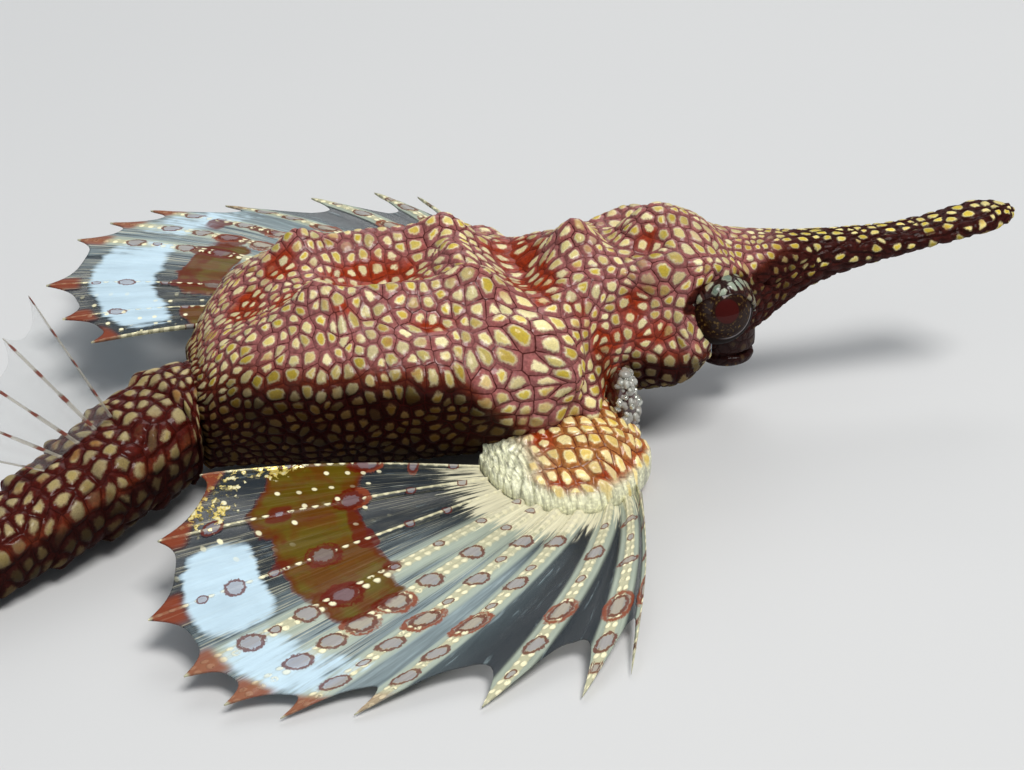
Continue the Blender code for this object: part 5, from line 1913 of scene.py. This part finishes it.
@dataclass
class SmallFins:
    """Dorsal, anal, caudal and pelvic fins."""

    shift: Array
    tail: TailForm = field(default_factory=TailForm)
    gap: float = 0.3 * MM
    depth: float = 0.5 * MM
    top_swell: float = 1.05

    def on_tail(self, span: Pair, reach: Pair, lean: Pair, roll: float, over: int) -> Surface:
        """The middle surface of a fin on the tail's upper or lower middle line.

        Args:
            span: Lengths along the tail where the base starts and ends, in millimetres.
            reach: A ray's length at the first ray and what it gains to the last, in millimetres.
            lean: Its angle back from square, given in the same way, in degrees.
            roll: Its angle sideways, in degrees.
            over: 1 above the tail and -1 below it.

        Returns:
            The surface as a function of place and share of the length.
        """

        def surface(u: Array, v: Array) -> Array:
            """Root on the tail's line, plus the ray's direction times its reach and share."""
            length = (span[0] + (span[1] - span[0]) * u) * MM
            centre, back, across = self.tail.frame_at(length)
            start = self.depth * over
            high = self.tail.half_height(length / MM) * self.top_swell + self.gap - start
            angle, tilt = np.radians(lean[0] + lean[1] * u)[..., None], np.radians(roll)
            out = np.cos(angle) * (np.cos(tilt) * over * UP + np.sin(tilt) * across) + np.sin(angle) * back
            far = start + ((reach[0] + reach[1] * u) * MM - 0.02 * MM - start) * v
            return centre + over * high[..., None] * UP + out * far[..., None]

        return surface

    def caudal(self, u: Array, v: Array) -> Array:
        """The fan at the tail's end: rays rise by 1 to 28 degrees from the floor.

        Args:
            u: Places from the lowest ray to the highest.
            v: Shares of the length.

        Returns:
            The points.
        """
        centre, back, _ = self.tail.frame_at(np.full_like(u, self.tail.length))
        angle = np.radians(1.0 + 27.0 * u)
        reach = (7.2 + 0.8 * np.sin(u * np.pi)) * MM
        run = -0.25 * MM * (1 - v) + self.gap * v + np.cos(angle) * reach * v
        rise = (-0.62 + 1.24 * u) * MM + np.sin(angle) * reach * v
        return centre + back * run[..., None] + UP * rise[..., None]

    @staticmethod
    def pelvic(u: Array, v: Array) -> Array:
        """Three finger-like rays that reach forward and down to the floor, on the left side.

        Args:
            u: Places from ray to ray.
            v: Shares of the length.

        Returns:
            The points.
        """
        fan = (u - 0.5) * (0.7 + 0.8 * v)
        x = 16.0 + (8.7 * v + 1.4 * fan) * (1.0 - 0.25 * (1 - u))
        z = 0.92 + 0.25 * 4 * v * (1 - v) - 0.72 * v**1.5
        return np.stack([x, 3.3 + 2.9 * v - 1.2 * fan, z], -1) * MM

    def build(self, clear: Material, skin: Material) -> Iterator[Piece]:
        """Make all the small fins.

        Args:
            clear: For the thin fins of the tail.
            skin: For the fleshier pelvic fins.

        Yields:
            The pieces.
        """
        slim = dict(
            rays=tuple(np.linspace(0, 1, 5)), rows=60, between=20, ray_width=Profile({0: 0.24, 1: 0.1}),
            ray_thick=Profile({0: 0.3, 1: 0.14}), film=0.07 * MM, notch=lambda u: 0.86 + 0 * u,
        )
        dorsal = Fin(self.on_tail((7.0, 12.0), (11.0, -4.0), (26.0, 30.0), 0.0, 1), **slim)
        anal = Fin(self.on_tail((8.0, 12.5), (6.5, -1.5), (50.0, 8.0), 82.0, -1), **slim)
        fan = Fin(
            self.caudal, tuple(np.linspace(0, 1, 8)), rows=50, between=14, film=0.1 * MM,
            ray_width=Profile({0: 0.26, 1: 0.3}), ray_thick=Profile({0: 0.6, 1: 0.3}),
            notch=lambda u: 0.93 + 0 * u,
        )
        toes = Fin(
            self.pelvic, (0.0, 0.5, 1.0), rows=60, between=24, film=0.3 * MM, tip_power=4.0,
            ray_width=Profile({0: 0.6, 1: 0.36}), ray_thick=Profile({0: 1.0, 1: 0.5}),
            notch=lambda u: 0.55 + 0 * u,
        )
        plan = [
            ("dorsal_film", dorsal, Side.LEFT, clear, "dorsal_fin"),
            ("anal_film", anal, Side.LEFT, clear, "anal_fin"),
            ("caudal_film", fan, Side.LEFT, clear, "caudal_fin"),
        ]
        plan += [(f"pelvic_toes_{side.word}", toes, side, skin, f"pelvic_fin_{side.word}") for side in Side]
        for name, fin, side, material, node in plan:
            piece = fin.patch(side).to_object(name, self.shift, material)
            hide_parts(node)
            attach(piece, "root")
            yield piece


@dataclass
class Studio:
    """A plain pale floor, soft light, and the camera where the picture was taken from."""

    shift: Array
    azimuth: float = -14.0
    elevation: float = 28.0
    place: Triple = (-4.3, -97.5, 56.1)
    focal_pixels: float = 1744.0
    picture_width: float = 1024.0
    sensor: float = 36.0
    floor_half: float = 3.0
    sky: Colour = (0.80, 0.88, 0.95)
    sky_strength: float = 0.22

    def floor(self) -> None:
        """A wide pale sheet just under the animal."""
        half = self.floor_half
        corners = [(-half, -half, 0), (half, -half, 0), (half, half, 0), (-half, half, 0)]
        mesh = bpy.data.meshes.new("floor")
        mesh.from_pydata(corners, [], [(0, 1, 2, 3)])
        sheet = bpy.data.objects.new("floor", mesh)
        sheet.location.z = -0.02 * MM
        bpy.context.scene.collection.objects.link(sheet)
        dress = Dress("floor_pale")
        colour = dress.mix((0.60, 0.61, 0.62), (0.66, 0.66, 0.66), dress.noise(dress.body(), 6.0))
        mesh.materials.append(dress.wear(Base_Color=colour, Roughness=0.75))
        sheet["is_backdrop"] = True

    @staticmethod
    def stand(data: bpy.types.ID, place: Array, right: Array, back: Array) -> Piece:
        """Put a light or camera in the scene, turned by its right and backward directions.

        Args:
            data: The light or camera.
            place: Where it stands, in metres.
            right: Unit direction to its right.
            back: Unit direction that it looks away from.

        Returns:
            The new object.
        """
        thing = bpy.data.objects.new(data.name, data)
        turned = np.eye(4)
        turned[:3] = np.stack([right, np.cross(back, right), back, place], -1)
        thing.matrix_world = Matrix(turned.tolist())
        bpy.context.scene.collection.objects.link(thing)
        return thing

    def lamp(self, name: str, place: Triple, size: float, power: float, tint: Colour) -> None:
        """An area light that faces the middle of the animal.

        Args:
            name: The light's name.
            place: In metres from the middle of the animal.
            size: Edge of the square.
            power: In watts.
            tint: Its colour.
        """
        light = bpy.data.lights.new(name, "AREA")
        light.size = size
        light.energy = power
        light.color = tint
        back = np.array(place) / np.linalg.norm(place)
        right = np.cross(UP, back)
        self.stand(light, np.array(place), right / np.linalg.norm(right), back)

    def camera(self) -> None:
        """The camera, from its place, azimuth and elevation, with no roll."""
        a, e = np.radians(self.azimuth), np.radians(self.elevation)
        right = np.array([np.cos(a), np.sin(a), 0.0])
        back = np.array([np.sin(a) * np.cos(e), -np.cos(a) * np.cos(e), np.sin(e)])
        lens = bpy.data.cameras.new("camera")
        lens.sensor_width = self.sensor
        lens.lens = self.focal_pixels / self.picture_width * self.sensor
        lens.clip_start = 0.005
        bpy.context.scene.camera = self.stand(lens, np.array(self.place) * MM + self.shift, right, back)

    def build(self) -> None:
        """Set the whole studio."""
        self.floor()
        self.camera()
        self.lamp("key", (0.20, -0.30, 0.75), 0.32, 6.0, (1.0, 0.98, 0.95))
        self.lamp("fill", (-0.75, -0.50, 0.40), 0.75, 1.75, (0.92, 0.96, 1.0))
        self.lamp("rim", (0.25, 0.65, 0.60), 0.50, 2.2, (1.0, 1.0, 1.0))
        bpy.context.scene.view_settings.view_transform = "Standard"
        world = bpy.data.worlds.new("studio")
        world.use_nodes = True
        ground = world.node_tree.nodes["Background"]
        ground.inputs["Color"].default_value = (*self.sky, 1.0)
        ground.inputs["Strength"].default_value = self.sky_strength
        bpy.context.scene.world = world


FINISHES = (
    CellFinish(
        "hide_cells", ground=(0.33, 0.115, 0.108), pit=(0.30, 0.030, 0.005), under=(0.022, 0.003, 0.002),
        line=(0.045, 0.005, 0.004), cream=(0.84, 0.77, 0.46), heart=(0.60, 0.46, 0.05), inset=-0.07,
        inset_spread=0.17, softness=0.2, bare=-0.03, line_width=0.045,
    ),
    CellFinish(
        "tail_cells", ground=(0.070, 0.007, 0.004), pit=(0.03, 0.004, 0.003), under=(0.022, 0.004, 0.003),
        line=(0.030, 0.004, 0.003), cream=(0.46, 0.38, 0.20), heart=(0.36, 0.28, 0.10),
        shaded_spot=(0.085, 0.055, 0.022), rust=(0.28, 0.10, 0.02), inset=-0.04, inset_spread=0.2, softness=0.26,
        bare=0.02, line_width=0.04, coat=0.18,
    ),
    CellFinish(
        "pad_plates", ground=(0.50, 0.20, 0.055), pit=(0.42, 0.055, 0.008), under=(0.07, 0.012, 0.008),
        line=(0.10, 0.010, 0.005), cream=(0.80, 0.70, 0.38), heart=(0.58, 0.40, 0.07),
        aside=(0.84, 0.84, 0.60), inset=0.0, inset_spread=0.05, bare=0.0, aside_bare=1.0, line_width=0.055,
        roughness=0.28, coat=0.5, matting=0.0,
    ),
    CellFinish(
        "hood_cells", ground=(0.030, 0.012, 0.010), pit=(0.2, 0.03, 0.01), under=(0.02, 0.006, 0.006),
        line=(0.012, 0.004, 0.004), cream=(0.40, 0.43, 0.33), heart=(0.20, 0.27, 0.21),
        shaded_spot=(0.06, 0.06, 0.035), brown=(0.03, 0.008, 0.006), inset=-0.1, bare=0.0, roughness=0.28, coat=0.4,
        matting=0.3,
    ),
    # Lip colours near black: partly the lips' own dark, partly painted shade from under the snout.
    CellFinish(
        "lip_skin", ground=(0.040, 0.010, 0.008), pit=(0.2, 0.03, 0.01), under=(0.015, 0.004, 0.004),
        line=(0.02, 0.004, 0.004), cream=(0.10, 0.06, 0.03), heart=(0.10, 0.06, 0.02),
        brown=(0.020, 0.005, 0.004), inset=0.16, inset_spread=0.2, bare=0.4,
    ),
    EyeFinish(),
    GlassyFinish(),
    WingFinish(),
    FilmFinish("tail_film", (0.55, 0.52, 0.44), (0.5, 0.55, 0.56), (0.24, 0.03, 0.015), 0.1, 0.55, 2.6),
    FilmFinish("toe_skin", (0.66, 0.52, 0.34), (0.5, 0.38, 0.26), (0.26, 0.04, 0.02), 0.9, 1.0, 1.9),
)


def main() -> None:
    """Build every piece in order, and the studio round it."""
    logging.basicConfig(level=logging.INFO, format="%(name)s: %(message)s")
    low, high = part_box("trunk")
    shift = np.array([low[0], (low[1] + high[1]) / 2, 0.0])
    hide, tail, pad, hood, lip, wet, gill, film, clear, toes = (finish.make() for finish in FINISHES)
    steps = [(BodySkin(shift).build, hide), (TailSkin(shift).build, tail), (Mouth(shift).build, lip)]
    for side in Side:
        eye = Eye(shift, side)
        steps += [
            (eye.globe, wet), (eye.hood, hood), (Pad(shift, side).build, pad),
            (GillFrill(shift, side).build, gill), (Wing(shift, side).build, film),
        ]
    for build, material in steps:
        LOG.info("made %s", build(material).name)
    for piece in SmallFins(shift).build(clear, toes):
        LOG.info("made %s", piece.name)
    Studio(shift).build()


def keep_sizes() -> None:
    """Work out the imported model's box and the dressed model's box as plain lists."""
    boxes = {
        name: [[float(number) for number in corner] for corner in box]
        for name, box in (("cad", CAD_BOX), ("visual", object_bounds()))
    }


if __name__ == "__main__":
    main()
    keep_sizes()
